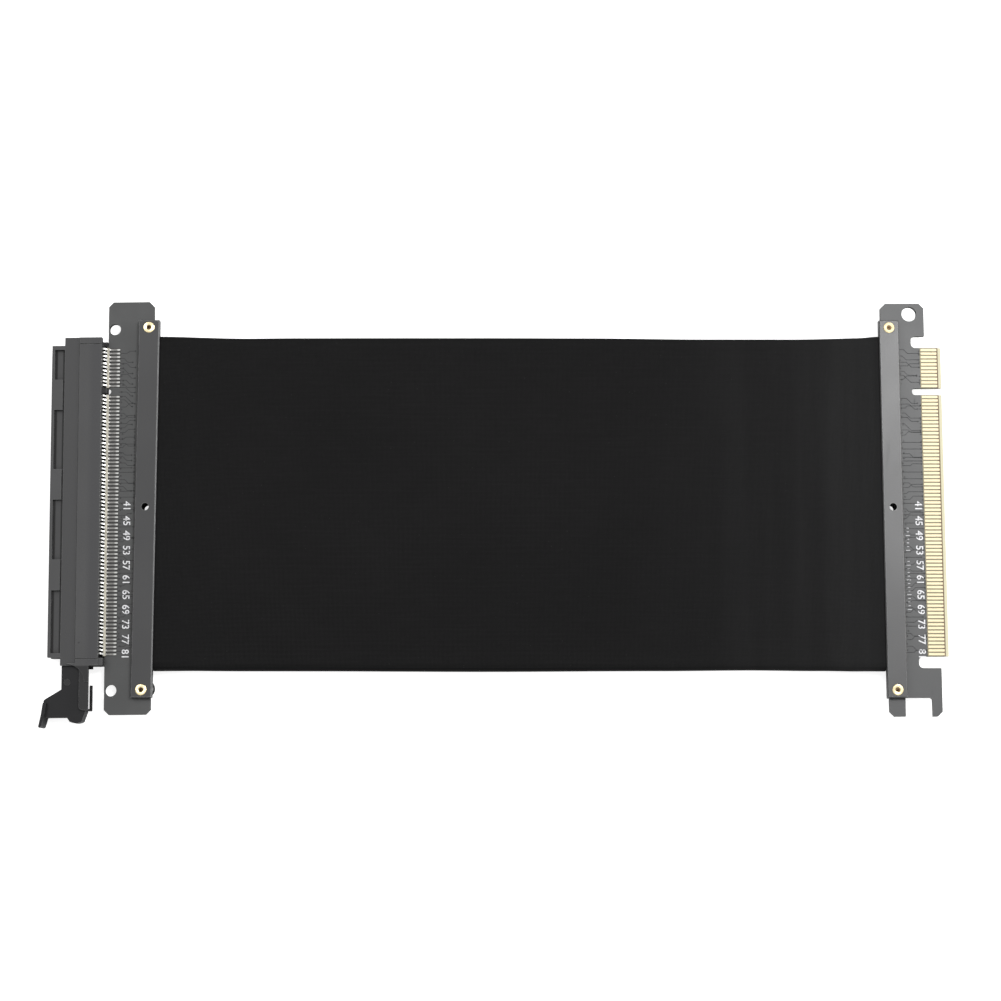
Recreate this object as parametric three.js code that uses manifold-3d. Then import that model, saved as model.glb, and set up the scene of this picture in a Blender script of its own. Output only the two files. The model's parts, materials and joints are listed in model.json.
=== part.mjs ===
// A flexible riser cable for a graphics card: a card slot with a latch on one board, a card-edge plug on
// another, and flat ribbons in a cloth sleeve between them, lying flat. Millimetres, +Z up, slot at -X.

import * as THREE from 'three';
import { mergeVertices } from 'three/addons/utils/BufferGeometryUtils.js';
import Module from 'manifold-3d';

const wasm = await Module();
wasm.setup();

// Contact rows of the slot and the plug. The short group is at +Y, the key lies between the two groups.
const PITCH = 1.0;
const SHORT_ROWS = 11;
const LONG_ROWS = 71;
const KEY_PITCH = 3.0;
const ROW_SPAN = (SHORT_ROWS + LONG_ROWS - 2) * PITCH + KEY_PITCH;
const KEY_Y = ROW_SPAN / 2 - (SHORT_ROWS - 1) * PITCH - KEY_PITCH / 2;
const TONGUE_MARGIN = 0.6;
const TONGUE_HALF = ROW_SPAN / 2 + TONGUE_MARGIN;

// How the two ends lie. Each end has a frame of its own: its origin is the clamp bar's centre hole, at
// mid-board height, and the contact rows are centred a little above it.
const BAR_SPAN = 201.4;
const ROW_Y = 1.95;
const SLOT_YAW_DEG = 0.65;

// Boards.
const BOARD = 1.6;
const BOARD_CHAMFER = 1.3;
const FIT = 0.1;

// Clamp bars, front and back of each board, and the eyelets that hold them.
const BAR_OVERRUN = 9.75;
const BAR_HALF = ROW_SPAN / 2 + BAR_OVERRUN;
const BAR_THICK = 2.2;
const BAR_CHAMFER = 0.25;
const BAR_WALL = 0.9;
const SLOT_BAR_WIDTH = 5.7;
const PLUG_BAR_WIDTH = 5.4;
const BACK_BAR_WIDTH = 4.0;
const BAR_HOLE_R = 1.0;
const BAR_PILLAR_R = 1.75;
const EYELET_INSET = 2.05;
const EYELET_Y = BAR_HALF - EYELET_INSET;
const EYELET_BORE_R = 0.55;
const EYELET_SHANK_R = 0.8;
const EYELET_FLANGE_R = 1.55;
const EYELET_FLANGE = 0.25;
const WASHER_R = 2.4;
const WASHER = 0.3;

// Ribbons and their sleeve.
const STRIPS_PER_SIDE = 2;
const STRIP = 0.8;
const STRIP_SEAT = 0.03;
const STRIP_GAP = 0.5;
const STRIP_LAP = 1.6;
const EYELET_TO_STRIP = 5.9;
const STRIPS_HALF = EYELET_Y - EYELET_TO_STRIP;
const CENTRE_GAP = 2 * BAR_PILLAR_R + 1.1;
const STRIP_WIDTH = (STRIPS_HALF - CENTRE_GAP / 2 - STRIP_GAP * (STRIPS_PER_SIDE - 1)) / STRIPS_PER_SIDE;
const LAYER_GAP = 0.2;
const SLEEVE_WALL = 0.4;
const SLEEVE_EASE = 0.15;
const SLEEVE_SIDE = 0.45;
const SLEEVE_SLACK = 3.2;
const SLEEVE_EDGE_R = 1.1;
const SLEEVE_TO_BAR = 0.3;
const DROP_LENGTH = 24;
const CLOSE_LENGTH = 15;
const POCKET = STRIP + 2 * STRIP_SEAT + 0.09;

// Slot board.
const SLOT_BOARD_WIDTH = 12.4;
const SLOT_LAP = 1.65;
const SLOT_TAB_UP = 10.3;
const SLOT_TAB_DOWN = 13.15;
const SLOT_HOLE_R = 1.55;
const SLOT_HOLE_WEB = 0.2;
const KEY_NOTCH_R = 0.87;

// Slot housing: a body on the board's side and a lip round the mouth, one moulding.
const HOUSING_GAP = 1.3;
const HOUSING_THICK = 7.5;
const BODY_DEPTH = 10.05;
const LIP_DEPTH = 3.45;
const LIP_THICK = 6.7;
const CREASE_DEPTH = 6.0;
const CREASE_DROP = 0.25;
const FRONT_DROP = 0.4;
const END_WALL = 1.8;
const SLOT_END_CLEARANCE = 0.6;
const SLOT_WIDTH = 1.8;
const SLOT_DEPTH = 9.6;
const LEAD_IN = 0.65;
const KEY_RIB = 1.6;
const LIP_SHORT = 0.4;
const RIM = 0.75;
const RIM_END = 1.1;
const LIP_POCKET = 0.9;
const LIP_GROOVE = 0.45;
const BRIDGES = 3;
const BRIDGE_WIDTH = 8.3;
const BRIDGE_PITCH = 24.5;
const FIRST_BRIDGE = 13.5;
const CAP_GROOVE = 0.25;
const POST_WIDTH = 1.7;
const POST_THICK = 2.4;
const POST_LAP = 0.2;
const KEY_POST_UP = 0.3;

// Contacts: a sprung beam inside the slot and a soldered tail on the board for each row, on both faces.
const BEAM_WIDTH = 0.5;
const BEAM_START = 2.1;
const BEAM_PEAK = 4.4;
const BEAM_RISE = 0.4;
const BEAM_EDGE = 0.05;
const BEAM_ROOT = 0.2;
const BEAM_SHORT = 0.6;
const TAIL_WIDTH = 0.46;
const TAIL = 0.22;
const TAIL_RISE = 0.55;
const TAIL_FOOT = 2.65;
const TAIL_HEEL = 0.55;
const TAIL_LEAN = 0.3;
const TAIL_STAGGER = 0.28;
const TAIL_ROOT = 0.05;
const TAIL_KNEE = 0.1;

// Latch: a forked lever on a lug at the slot's lower end, between two cheeks of the housing.
// Its lengths are measured from the pivot.
const PIVOT_IN = 8.3;
const PIVOT_R = 0.9;
const PIVOT_CLEARANCE = 0.07;
const LATCH_TOP_R = 4.6;
const LATCH_TOP_IN = 0.25;
const LATCH_THICK = 4.6;
const LATCH_FORK = 2.2;
const LATCH_GAP = 0.3;
const FORK_SETBACK = 0.45;
const FORK_DROP = 3.2;
const FORK_DROP_FROM = 2.0;
const STEM_REACH = 1.5;
const STEM_DOWN = 1.95;
const HEEL_REACH = 4.9;
const HEEL_DOWN = 7.95;
const SOLE_REACH = 4.0;
const SOLE_DOWN = 10.5;
const SOLE_WIDTH = 3.2;
const SOLE_BULGE = 0.8;
const ARM_REACH = 6.2;
const ARM_TOP = 4.5;
const ARM_CORNER = 0.35;
const ARM_BOTTOM = 9.35;
const INSTEP = 0.75;
const PAD_WIDTH = 6.6;
const PAD_TOP = 5.5;
const PAD_TIP = 11.7;
const PAD_LEAN = 1.1;
const PAD_THICK = 0.95;
const PAD_TIP_THICK = 0.7;
const LUG_THICK = 1.6;
const LUG_SETBACK = 0.75;
const LUG_NECK = 1.6;
const CHEEK_THICK = 0.8;
const CHEEK_SHORT = 0.4;
const CHEEK_NEAR = 3.35;
const CHEEK_FAR = 5.85;
const CHEEK_TIP_R = 1.2;
const CHEEK_ROOT = 0.15;

// Plug board.
const PLUG_LAP = 1.86;
const PLUG_BODY = 8.1;
const TONGUE_LENGTH = 8.1;
const UPPER_NOTCH = 3.3;
const LOWER_NOTCH = 3.1;
const NOTCH_CORNER_R = 1.2;
const KEY_NOTCH = 1.9;
const UPPER_SHOULDER = 9.05;
const UPPER_SHOULDER_SETBACK = 4.4;
const LOWER_SHOULDER = 12.95;
const LOWER_SHOULDER_SETBACK = 2.1;
const PLUG_HOLE_R = 2.05;
const PLUG_HOLE_DOWN = 2.9;
const PLUG_HOLE_IN = 4.0;
const FORK_DEPTH = 5.0;
const FORK_OUTER_LEG = 2.55;
const FORK_INNER_LEG = 4.25;
const FORK_CORNER_R = 0.8;
const FINGER_WIDTH = 0.7;
const FINGER_LENGTH = 4.3;
const FINGER_RAISE = 0.06;
const BEVEL_LENGTH = 1.2;
const BEVEL_DEPTH = 0.4;

// Worked out from the values above, each in the frame of its own end.
const SLOT_HALF = TONGUE_HALF + SLOT_END_CLEARANCE;
const HOUSING_HALF = SLOT_HALF + END_WALL;
const SLOT_BOARD_LEFT = SLOT_LAP - SLOT_BOARD_WIDTH;
const REAR_X = SLOT_BOARD_LEFT - HOUSING_GAP;
const CREASE_X = REAR_X - CREASE_DEPTH;
const FRONT_X = REAR_X - BODY_DEPTH;
const MOUTH_X = FRONT_X - LIP_DEPTH;
const SLOT_FLOOR_X = MOUTH_X + SLOT_DEPTH;
const PIVOT = new THREE.Vector2(REAR_X - PIVOT_IN, -HOUSING_HALF - LATCH_TOP_R + LATCH_TOP_IN);
const STACK = BOARD + 2 * BAR_THICK;
const SLOT_Z = HOUSING_THICK / 2;
const PLUG_Z = STACK / 2 + EYELET_FLANGE;
const PLUG_LEFT = -PLUG_LAP;
const NOTCH_ROOT = PLUG_LEFT + PLUG_BODY;
const TONGUE_EDGE = NOTCH_ROOT + TONGUE_LENGTH;
const LAYER_APART = BOARD / 2 + STRIP_SEAT + STRIP / 2;
const LAYER_CLOSED = STRIP / 2 + LAYER_GAP / 2;
const SLEEVE_OVER = STRIP / 2 + SLEEVE_EASE + SLEEVE_WALL;

const look = (color, roughness, metalness = 0) => new THREE.MeshStandardMaterial({ color, roughness, metalness });
const MATERIALS = {
  housing: look(0x5c5d5f, 0.5),
  latch: look(0x333436, 0.45),
  board: look(0x55575a, 0.5),
  bar: look(0x6a6c6e, 0.4),
  eyelet: look(0xd8b66a, 0.3, 0.9),
  washer: look(0xb8b4a8, 0.35, 0.9),
  ribbon: look(0x2b2c30, 0.6),
  sleeve: look(0x1c1c1d, 0.9),
};

// A closed solid from a three.js geometry, and back again.
function solidOf(geometry) {
  const bare = new THREE.BufferGeometry();
  bare.setAttribute('position', geometry.getAttribute('position'));
  bare.setIndex(geometry.getIndex());
  const merged = mergeVertices(bare, 1e-4);
  const vertProperties = new Float32Array(merged.getAttribute('position').array);
  const triVerts = new Uint32Array(merged.getIndex().array);
  return new wasm.Manifold(new wasm.Mesh({ numProp: 3, vertProperties, triVerts }));
}

function geometryOf(solid) {
  const mesh = solid.getMesh();
  const geometry = new THREE.BufferGeometry();
  geometry.setAttribute('position', new THREE.BufferAttribute(mesh.vertProperties, 3));
  geometry.setIndex(new THREE.BufferAttribute(mesh.triVerts, 1));
  return geometry;
}

// A copy on the other side of the XY plane, with its faces turned over so that they still point out.
function mirrorImage(solid) {
  const geometry = geometryOf(solid);
  geometry.scale(1, 1, -1);
  const index = geometry.getIndex();
  for (let i = 0; i < index.count; i += 3) {
    const first = index.getX(i);
    index.setX(i, index.getX(i + 2));
    index.setX(i + 2, first);
  }
  return solidOf(geometry);
}

const union = (...solids) => wasm.Manifold.union(solids.flat());
const cut = (solid, ...tools) => solid.subtract(union(...tools));

function node(name, solid, material) {
  const mesh = new THREE.Mesh(geometryOf(solid), material);
  mesh.name = name;
  return mesh;
}

// Basic solids, given by their limits.
function block([x0, x1], [y0, y1], [z0, z1]) {
  const box = new THREE.BoxGeometry(x1 - x0, y1 - y0, z1 - z0);
  box.translate((x0 + x1) / 2, (y0 + y1) / 2, (z0 + z1) / 2);
  return solidOf(box);
}

function disc(x, y, radius, [z0, z1], segments = 24) {
  const cylinder = new THREE.CylinderGeometry(radius, radius, z1 - z0, segments);
  cylinder.rotateX(Math.PI / 2);
  cylinder.translate(x, y, (z0 + z1) / 2);
  return solidOf(cylinder);
}

// An outline in the XY plane, given thickness along Z.
function plate(shape, [z0, z1], curveSegments = 8) {
  const slab = new THREE.ExtrudeGeometry(shape, { depth: z1 - z0, bevelEnabled: false, curveSegments });
  slab.translate(0, 0, z0);
  return solidOf(slab);
}

// An outline in the XZ plane, given length along Y.
function profileAlongY(points, [y0, y1]) {
  const shape = new THREE.Shape(points.map(([x, z]) => new THREE.Vector2(x, z)));
  const bar = new THREE.ExtrudeGeometry(shape, { depth: y1 - y0, bevelEnabled: false });
  bar.rotateX(Math.PI / 2);
  bar.translate(0, y1, 0);
  return bar;
}

const section = (points, range) => solidOf(profileAlongY(points, range));

// An outline in the YZ plane, given length along X.
function lengthwise(points, [x0, x1]) {
  const shape = new THREE.Shape(points.map(([y, z]) => new THREE.Vector2(y, z)));
  const bar = new THREE.ExtrudeGeometry(shape, { depth: x1 - x0, bevelEnabled: false });
  bar.rotateX(Math.PI / 2);
  bar.rotateZ(Math.PI / 2);
  bar.translate(x0, 0, 0);
  return solidOf(bar);
}

const both = (half) => [-half, half];
const intersect = (a, b) => a.intersect(b);
const mirrored = (solid) => [solid, mirrorImage(solid)];

// The Y of every contact row, from the short group's end down.
function contactRows() {
  const rows = [];
  for (let row = 0; row < SHORT_ROWS + LONG_ROWS; row += 1) {
    const step = row < SHORT_ROWS ? 0 : KEY_PITCH - PITCH;
    rows.push(ROW_SPAN / 2 - row * PITCH - step);
  }
  return rows;
}

// Slot housing, in the frame of the contact rows' centre.
function housingShell() {
  const face = HOUSING_THICK / 2;
  const half = [
    [REAR_X, face],
    [CREASE_X, face],
    [CREASE_X - CREASE_DROP, face - CREASE_DROP],
    [FRONT_X, face - FRONT_DROP],
  ];
  const below = half.map(([x, z]) => [x, -z]).reverse();
  const body = section([...half, ...below], both(HOUSING_HALF));
  const lip = block([MOUTH_X, FRONT_X + 1], both(SLOT_HALF - LIP_SHORT), both(LIP_THICK / 2));
  return union(body, lip);
}

// The lip's recesses between its bridges, and the groove that sets the bridges off from the body.
function lipRecesses() {
  const top = SLOT_HALF - LIP_SHORT - RIM_END;
  const face = LIP_THICK / 2;
  const edges = [top];
  for (let bridge = 0; bridge < BRIDGES; bridge += 1) {
    const centre = SLOT_HALF - LIP_SHORT - FIRST_BRIDGE - bridge * BRIDGE_PITCH;
    edges.push(centre + BRIDGE_WIDTH / 2, centre - BRIDGE_WIDTH / 2);
  }
  edges.push(-top);
  const tools = [block([FRONT_X - LIP_GROOVE, FRONT_X], both(top), [face - LIP_POCKET / 2, face + 1])];
  for (let i = 0; i < edges.length; i += 2) {
    tools.push(block([MOUTH_X + RIM, FRONT_X], [edges[i + 1], edges[i]], [face - LIP_POCKET, face + 1]));
  }
  return tools.flatMap(mirrored);
}

// Fine grooves that mark off the two end caps of the body.
function capGrooves() {
  const face = HOUSING_THICK / 2;
  const tools = [SLOT_HALF, -SLOT_HALF].map((y) =>
    block([CREASE_X, REAR_X + 1], both(CAP_GROOVE / 2).map((v) => y + v), [face - CAP_GROOVE, face + 1]));
  return tools.flatMap(mirrored);
}

// The slot for the card, with a lead-in along its mouth.
function cardSlot() {
  const wide = SLOT_WIDTH / 2 + LEAD_IN;
  const channel = block([MOUTH_X - 1, SLOT_FLOOR_X], both(SLOT_HALF), both(SLOT_WIDTH / 2));
  const mouth = section([
    [MOUTH_X - 0.1, wide + 0.1],
    [MOUTH_X - 0.1, -wide - 0.1],
    [MOUTH_X + LEAD_IN, -SLOT_WIDTH / 2],
    [MOUTH_X + LEAD_IN, SLOT_WIDTH / 2],
  ], both(SLOT_HALF));
  return [channel, mouth];
}

// One sprung contact beam on the slot's upper wall: a ramp, a crown and a long back slope.
function contactBeam(y) {
  const wall = SLOT_WIDTH / 2;
  return section([
    [MOUTH_X + BEAM_START, wall + BEAM_ROOT],
    [MOUTH_X + BEAM_START, wall - BEAM_EDGE],
    [MOUTH_X + BEAM_PEAK, wall - BEAM_RISE],
    [SLOT_FLOOR_X - BEAM_SHORT, wall - BEAM_EDGE],
    [SLOT_FLOOR_X - BEAM_SHORT, wall + BEAM_ROOT],
  ], both(BEAM_WIDTH / 2).map((v) => y + v));
}

// Posts on the rear face that stand the housing off from the board's edge: one above the rows, one in the
// key's gap, and the lower end cap's foot.
function standoffs() {
  const x = [REAR_X - 1, SLOT_BOARD_LEFT - FIT];
  const upper = ROW_SPAN / 2 + TONGUE_MARGIN - POST_LAP;
  const foot = HOUSING_THICK / 2 - CREASE_DROP;
  return [
    block(x, [upper, upper + POST_WIDTH], both(POST_THICK / 2)),
    block(x, both(POST_WIDTH / 2).map((v) => KEY_Y + KEY_POST_UP + v), both(POST_THICK / 2)),
    block(x, [-HOUSING_HALF, -SLOT_HALF + 0.1], both(foot)),
  ];
}

// Two cheeks that guide the latch, the arched skins over its round top, and the lug with its pivot.
function latchCarrier() {
  const inner = LATCH_THICK / 2 + LATCH_GAP;
  const face = HOUSING_THICK / 2;
  const archR = LATCH_TOP_R + FIT;
  const root = PIVOT.y + archR + CHEEK_ROOT;
  const tip = PIVOT.y - HEEL_DOWN + CHEEK_SHORT;
  const near = PIVOT.x + CHEEK_NEAR;
  const far = PIVOT.x + CHEEK_FAR;
  const cheek = new THREE.Shape();
  cheek.moveTo(far, root);
  cheek.lineTo(near, root);
  cheek.lineTo(near, tip + CHEEK_TIP_R);
  cheek.absarc(near + CHEEK_TIP_R, tip + CHEEK_TIP_R, CHEEK_TIP_R, Math.PI, 1.5 * Math.PI);
  cheek.lineTo(far, tip);
  const skin = new THREE.Shape();
  skin.moveTo(far, root);
  skin.lineTo(PIVOT.x, root);
  skin.lineTo(PIVOT.x, PIVOT.y + archR);
  skin.absarc(PIVOT.x, PIVOT.y, archR, Math.PI / 2, 0, true);
  skin.lineTo(far, PIVOT.y);
  const sides = [plate(cheek, [inner, inner + CHEEK_THICK]), plate(skin, [inner, face])];
  const lugR = LATCH_TOP_R - LUG_SETBACK;
  const lug = union(
    disc(PIVOT.x, PIVOT.y, lugR, both(LUG_THICK / 2)),
    block([PIVOT.x - LUG_NECK, PIVOT.x + lugR], [PIVOT.y, END_WALL / 2 - HOUSING_HALF], both(LUG_THICK / 2)),
    disc(PIVOT.x, PIVOT.y, PIVOT_R, both(LATCH_THICK / 2), 24),
  );
  return { sides: sides.flatMap(mirrored), lug };
}

function slotHousing() {
  const carrier = latchCarrier();
  const inner = LATCH_THICK / 2 + LATCH_GAP;
  const latchRoom = disc(PIVOT.x, PIVOT.y, LATCH_TOP_R + LATCH_GAP, both(inner));
  const shell = cut(
    union(housingShell(), standoffs(), carrier.sides),
    lipRecesses(), capGrooves(), cardSlot(), latchRoom,
  );
  const keyRib = block([MOUTH_X + 0.9, SLOT_FLOOR_X + 0.1], both(KEY_RIB / 2).map((v) => KEY_Y + v),
    both(SLOT_WIDTH / 2 + 0.1));
  const beams = contactRows().map(contactBeam).flatMap(mirrored);
  const mesh = node('slot_housing', union(shell, keyRib, carrier.lug, beams), MATERIALS.housing);
  mesh.position.y = ROW_Y;
  return mesh;
}

// The latch, with its pivot at the origin: round top, hook towards the card, foot, and a finger pad.
function latchOutline() {
  const top = Math.acos(-STEM_REACH / LATCH_TOP_R);
  const toe = SOLE_REACH - SOLE_WIDTH;
  const shape = new THREE.Shape();
  shape.absarc(0, 0, LATCH_TOP_R, top, 0, true);
  shape.lineTo(HEEL_REACH, -HEEL_DOWN);
  shape.lineTo(SOLE_REACH, -SOLE_DOWN);
  shape.quadraticCurveTo(SOLE_REACH - SOLE_WIDTH / 2, -SOLE_DOWN - SOLE_BULGE, toe, -SOLE_DOWN);
  shape.lineTo(toe - INSTEP, -ARM_BOTTOM);
  shape.lineTo(-ARM_REACH, -ARM_BOTTOM);
  shape.lineTo(-ARM_REACH, -ARM_TOP - ARM_CORNER);
  shape.lineTo(ARM_CORNER - ARM_REACH, -ARM_TOP);
  shape.lineTo(-STEM_REACH, -STEM_DOWN);
  return shape;
}

// The finger pad leans forward towards its tip.
function padOutline() {
  const tipX = -ARM_REACH - PAD_LEAN;
  const shape = new THREE.Shape();
  shape.moveTo(-ARM_REACH, -PAD_TOP);
  shape.lineTo(-ARM_REACH - PAD_LEAN * 0.4, (-PAD_TOP - PAD_TIP) / 2);
  shape.lineTo(tipX, -PAD_TIP);
  shape.quadraticCurveTo(tipX + PAD_TIP_THICK / 4, -PAD_TIP - PAD_TIP_THICK, tipX + PAD_TIP_THICK, -PAD_TIP);
  shape.lineTo(PAD_THICK - PAD_LEAN * 0.4 - ARM_REACH, (-PAD_TOP - PAD_TIP) / 2);
  shape.lineTo(PAD_THICK - ARM_REACH, -PAD_TOP);
  return shape;
}

function slotLatch() {
  const lever = plate(latchOutline(), both(LATCH_THICK / 2), 10);
  const pad = plate(padOutline(), both(PAD_WIDTH / 2));
  const forkR = LATCH_TOP_R - FORK_SETBACK;
  const fork = both(LATCH_FORK / 2);
  const beyond = LATCH_TOP_R + ARM_REACH;
  const solid = cut(
    union(lever, pad),
    disc(0, 0, forkR, fork),
    block(both(beyond), [0, beyond], fork),
    block([FORK_DROP_FROM, beyond], [-FORK_DROP, beyond], fork),
    disc(0, 0, PIVOT_R + PIVOT_CLEARANCE, both(LATCH_THICK), 24),
  );
  const mesh = node('slot_latch', solid, MATERIALS.latch);
  mesh.position.set(PIVOT.x, ROW_Y + PIVOT.y, 0);
  return mesh;
}

// One soldered tail on the board's upper face: out of the housing, down a slope, then flat on its pad.
// Its upper end leans along the row, and every second tail leaves the housing a little lower.
function contactTail(y, index) {
  const top = BOARD / 2;
  const exit = top + TAIL_RISE + (index % 2) * TAIL_STAGGER;
  const heel = SLOT_BOARD_LEFT + TAIL_HEEL;
  const knee = heel - TAIL_KNEE;
  const toe = heel + TAIL_FOOT;
  const strip = profileAlongY([
    [REAR_X, exit + TAIL],
    [REAR_X, exit],
    [knee, top - TAIL_ROOT],
    [toe, top - TAIL_ROOT],
    [toe, top + TAIL],
    [heel, top + TAIL],
  ], both(TAIL_WIDTH / 2).map((v) => y + v));
  const place = strip.getAttribute('position');
  for (let i = 0; i < place.count; i += 1) {
    const rise = Math.max(0, (knee - place.getX(i)) / (heel - REAR_X));
    place.setY(i, place.getY(i) + rise * TAIL_LEAN);
  }
  return solidOf(strip);
}

// A hole through a board that belongs to the clamp bar's own, unturned frame.
function barHole(y, radius) {
  const place = new THREE.Vector2(0, y).rotateAround(new THREE.Vector2(), THREE.MathUtils.degToRad(-SLOT_YAW_DEG));
  return disc(place.x, place.y, radius, both(BOARD), 16);
}

function slotBoard() {
  const top = ROW_Y + HOUSING_HALF + SLOT_TAB_UP;
  const bottom = ROW_Y - HOUSING_HALF - SLOT_TAB_DOWN;
  const shape = chamferedOutline(SLOT_BOARD_LEFT, SLOT_LAP, bottom, top);
  const holeX = SLOT_BOARD_LEFT + SLOT_HOLE_WEB + SLOT_HOLE_R;
  const board = cut(
    plate(shape, both(BOARD / 2)),
    both(EYELET_Y).map((y) => disc(holeX, y, SLOT_HOLE_R, both(BOARD))),
    disc(SLOT_BOARD_LEFT, ROW_Y + KEY_Y, KEY_NOTCH_R, both(BOARD)),
    both(EYELET_Y).map((y) => barHole(y, EYELET_SHANK_R + FIT / 2)),
    barHole(0, BAR_HOLE_R),
  );
  const tails = contactRows().map((y, index) => contactTail(ROW_Y + y, index)).flatMap(mirrored);
  return node('slot_board', union(board, tails), MATERIALS.board);
}

function chamferedOutline(left, right, bottom, top) {
  const c = BOARD_CHAMFER;
  return new THREE.Shape([
    new THREE.Vector2(left + c, bottom),
    new THREE.Vector2(right - c, bottom),
    new THREE.Vector2(right, bottom + c),
    new THREE.Vector2(right, top - c),
    new THREE.Vector2(right - c, top),
    new THREE.Vector2(left + c, top),
    new THREE.Vector2(left, top - c),
    new THREE.Vector2(left, bottom + c),
  ]);
}

// Plug board outline: tab and screw hole above, the two tongues with the key between them, and a forked
// tab below. Walked clockwise from the upper left corner.
function plugOutline() {
  const tongueTop = ROW_Y + TONGUE_HALF;
  const tongueBottom = ROW_Y - TONGUE_HALF;
  const top = tongueTop + UPPER_NOTCH + UPPER_SHOULDER;
  const bottom = tongueBottom - LOWER_NOTCH - LOWER_SHOULDER;
  const upperRight = TONGUE_EDGE - UPPER_SHOULDER_SETBACK;
  const lowerRight = TONGUE_EDGE - LOWER_SHOULDER_SETBACK;
  const key = ROW_Y + KEY_Y;
  const c = BOARD_CHAMFER;
  const shape = new THREE.Shape();
  shape.moveTo(PLUG_LEFT + c, top);
  shape.lineTo(upperRight - c, top);
  shape.lineTo(upperRight, top - c);
  notch(shape, upperRight, tongueTop + UPPER_NOTCH, TONGUE_EDGE, tongueTop, NOTCH_CORNER_R);
  notch(shape, TONGUE_EDGE, key + KEY_NOTCH / 2, TONGUE_EDGE, key - KEY_NOTCH / 2, KEY_NOTCH / 2 - 0.05);
  notch(shape, TONGUE_EDGE, tongueBottom, lowerRight, tongueBottom - LOWER_NOTCH, NOTCH_CORNER_R);
  shape.lineTo(lowerRight, bottom + c);
  shape.lineTo(lowerRight - c, bottom);
  const forkRight = lowerRight - FORK_OUTER_LEG;
  const forkLeft = PLUG_LEFT + FORK_INNER_LEG;
  const forkTop = bottom + FORK_DEPTH;
  const r = FORK_CORNER_R;
  shape.lineTo(forkRight, bottom);
  shape.lineTo(forkRight, forkTop - r);
  shape.absarc(forkRight - r, forkTop - r, r, 0, Math.PI / 2);
  shape.lineTo(forkLeft, forkTop);
  shape.lineTo(forkLeft, bottom);
  shape.lineTo(PLUG_LEFT + c, bottom);
  shape.lineTo(PLUG_LEFT, bottom + c);
  shape.lineTo(PLUG_LEFT, top - c);
  return shape;
}

// A notch cut in from the right edge down to the notch root, with two rounded inner corners.
function notch(shape, xAbove, yAbove, xBelow, yBelow, r) {
  const root = NOTCH_ROOT;
  shape.lineTo(xAbove, yAbove);
  shape.lineTo(root + r, yAbove);
  shape.absarc(root + r, yAbove - r, r, Math.PI / 2, Math.PI);
  shape.absarc(root + r, yBelow + r, r, Math.PI, 1.5 * Math.PI);
  shape.lineTo(xBelow, yBelow);
}

// The slope along the tongue's leading edge, as a tool for the upper face.
function tongueBevel() {
  const top = BOARD / 2;
  const slope = BEVEL_DEPTH / BEVEL_LENGTH;
  return section([
    [TONGUE_EDGE - BEVEL_LENGTH, top],
    [TONGUE_EDGE + 1, top - BEVEL_DEPTH - slope],
    [TONGUE_EDGE + 1, top + 1],
    [TONGUE_EDGE - BEVEL_LENGTH, top + 1],
  ], both(TONGUE_HALF).map((v) => ROW_Y + v));
}

function plugBoard() {
  const top = ROW_Y + TONGUE_HALF + UPPER_NOTCH + UPPER_SHOULDER;
  const holeX = TONGUE_EDGE - UPPER_SHOULDER_SETBACK - PLUG_HOLE_IN;
  const board = cut(
    plate(plugOutline(), both(BOARD / 2), 5),
    disc(holeX, top - PLUG_HOLE_DOWN, PLUG_HOLE_R, both(BOARD)),
    both(EYELET_Y).map((y) => disc(0, y, EYELET_SHANK_R + FIT / 2, both(BOARD), 16)),
    disc(0, 0, BAR_HOLE_R, both(BOARD), 16),
    mirrored(tongueBevel()),
  );
  const tip = TONGUE_EDGE - BEVEL_LENGTH;
  const fingers = contactRows().map((y) => block([tip - FINGER_LENGTH, tip],
    both(FINGER_WIDTH / 2).map((v) => ROW_Y + y + v), both(BOARD / 2 + FINGER_RAISE)));
  return node('plug_board', union(board, fingers), MATERIALS.board);
}

// A clamp bar lying on the board's upper face, with a pocket over the ribbon ends that is open towards the
// cable (+X here) and a pillar that carries the centre hole through it.
function clampBar(width) {
  const z0 = BOARD / 2;
  const z1 = z0 + BAR_THICK;
  const c = BAR_CHAMFER;
  const x = width / 2;
  const bar = intersect(
    section([[-x, z0], [x, z0], [x, z1 - c], [x - c, z1], [c - x, z1], [-x, z1 - c]], both(BAR_HALF)),
    lengthwise([[-BAR_HALF, z0], [BAR_HALF, z0], [BAR_HALF, z1 - c], [BAR_HALF - c, z1],
      [c - BAR_HALF, z1], [-BAR_HALF, z1 - c]], both(x)),
  );
  const pocket = cut(
    block([BAR_WALL - x, x + 1], both(STRIPS_HALF + 0.4), [z0 - 1, z0 + POCKET]),
    disc(0, 0, BAR_PILLAR_R, [z0 - 2, z0 + BAR_THICK], 16),
  );
  return cut(
    bar,
    pocket,
    disc(0, 0, BAR_HOLE_R, [z0 - 1, z1 + 1], 16),
    both(EYELET_Y).map((y) => disc(0, y, EYELET_SHANK_R + FIT / 2, [z0 - 1, z1 + 1], 16)),
  );
}

// A hollow rivet through the whole stack: a shank, a front flange and a rolled back flange.
function eyelet(washer = 0) {
  const front = STACK / 2;
  const back = -STACK / 2 - washer;
  const f = EYELET_FLANGE;
  const r = EYELET_FLANGE_R;
  const profile = [
    [EYELET_BORE_R, back - f],
    [r - f, back - f],
    [r, back],
    [EYELET_SHANK_R, back],
    [EYELET_SHANK_R, front],
    [r, front],
    [r - 0.1, front + f * 0.7],
    [r - 0.45, front + f],
    [EYELET_BORE_R + 0.15, front + f * 0.7],
    [EYELET_BORE_R, front],
    [EYELET_BORE_R, back - f],
  ].map(([x, y]) => new THREE.Vector2(x, y));
  const turned = new THREE.LatheGeometry(profile, 16);
  turned.rotateX(Math.PI / 2);
  return solidOf(turned);
}

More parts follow.
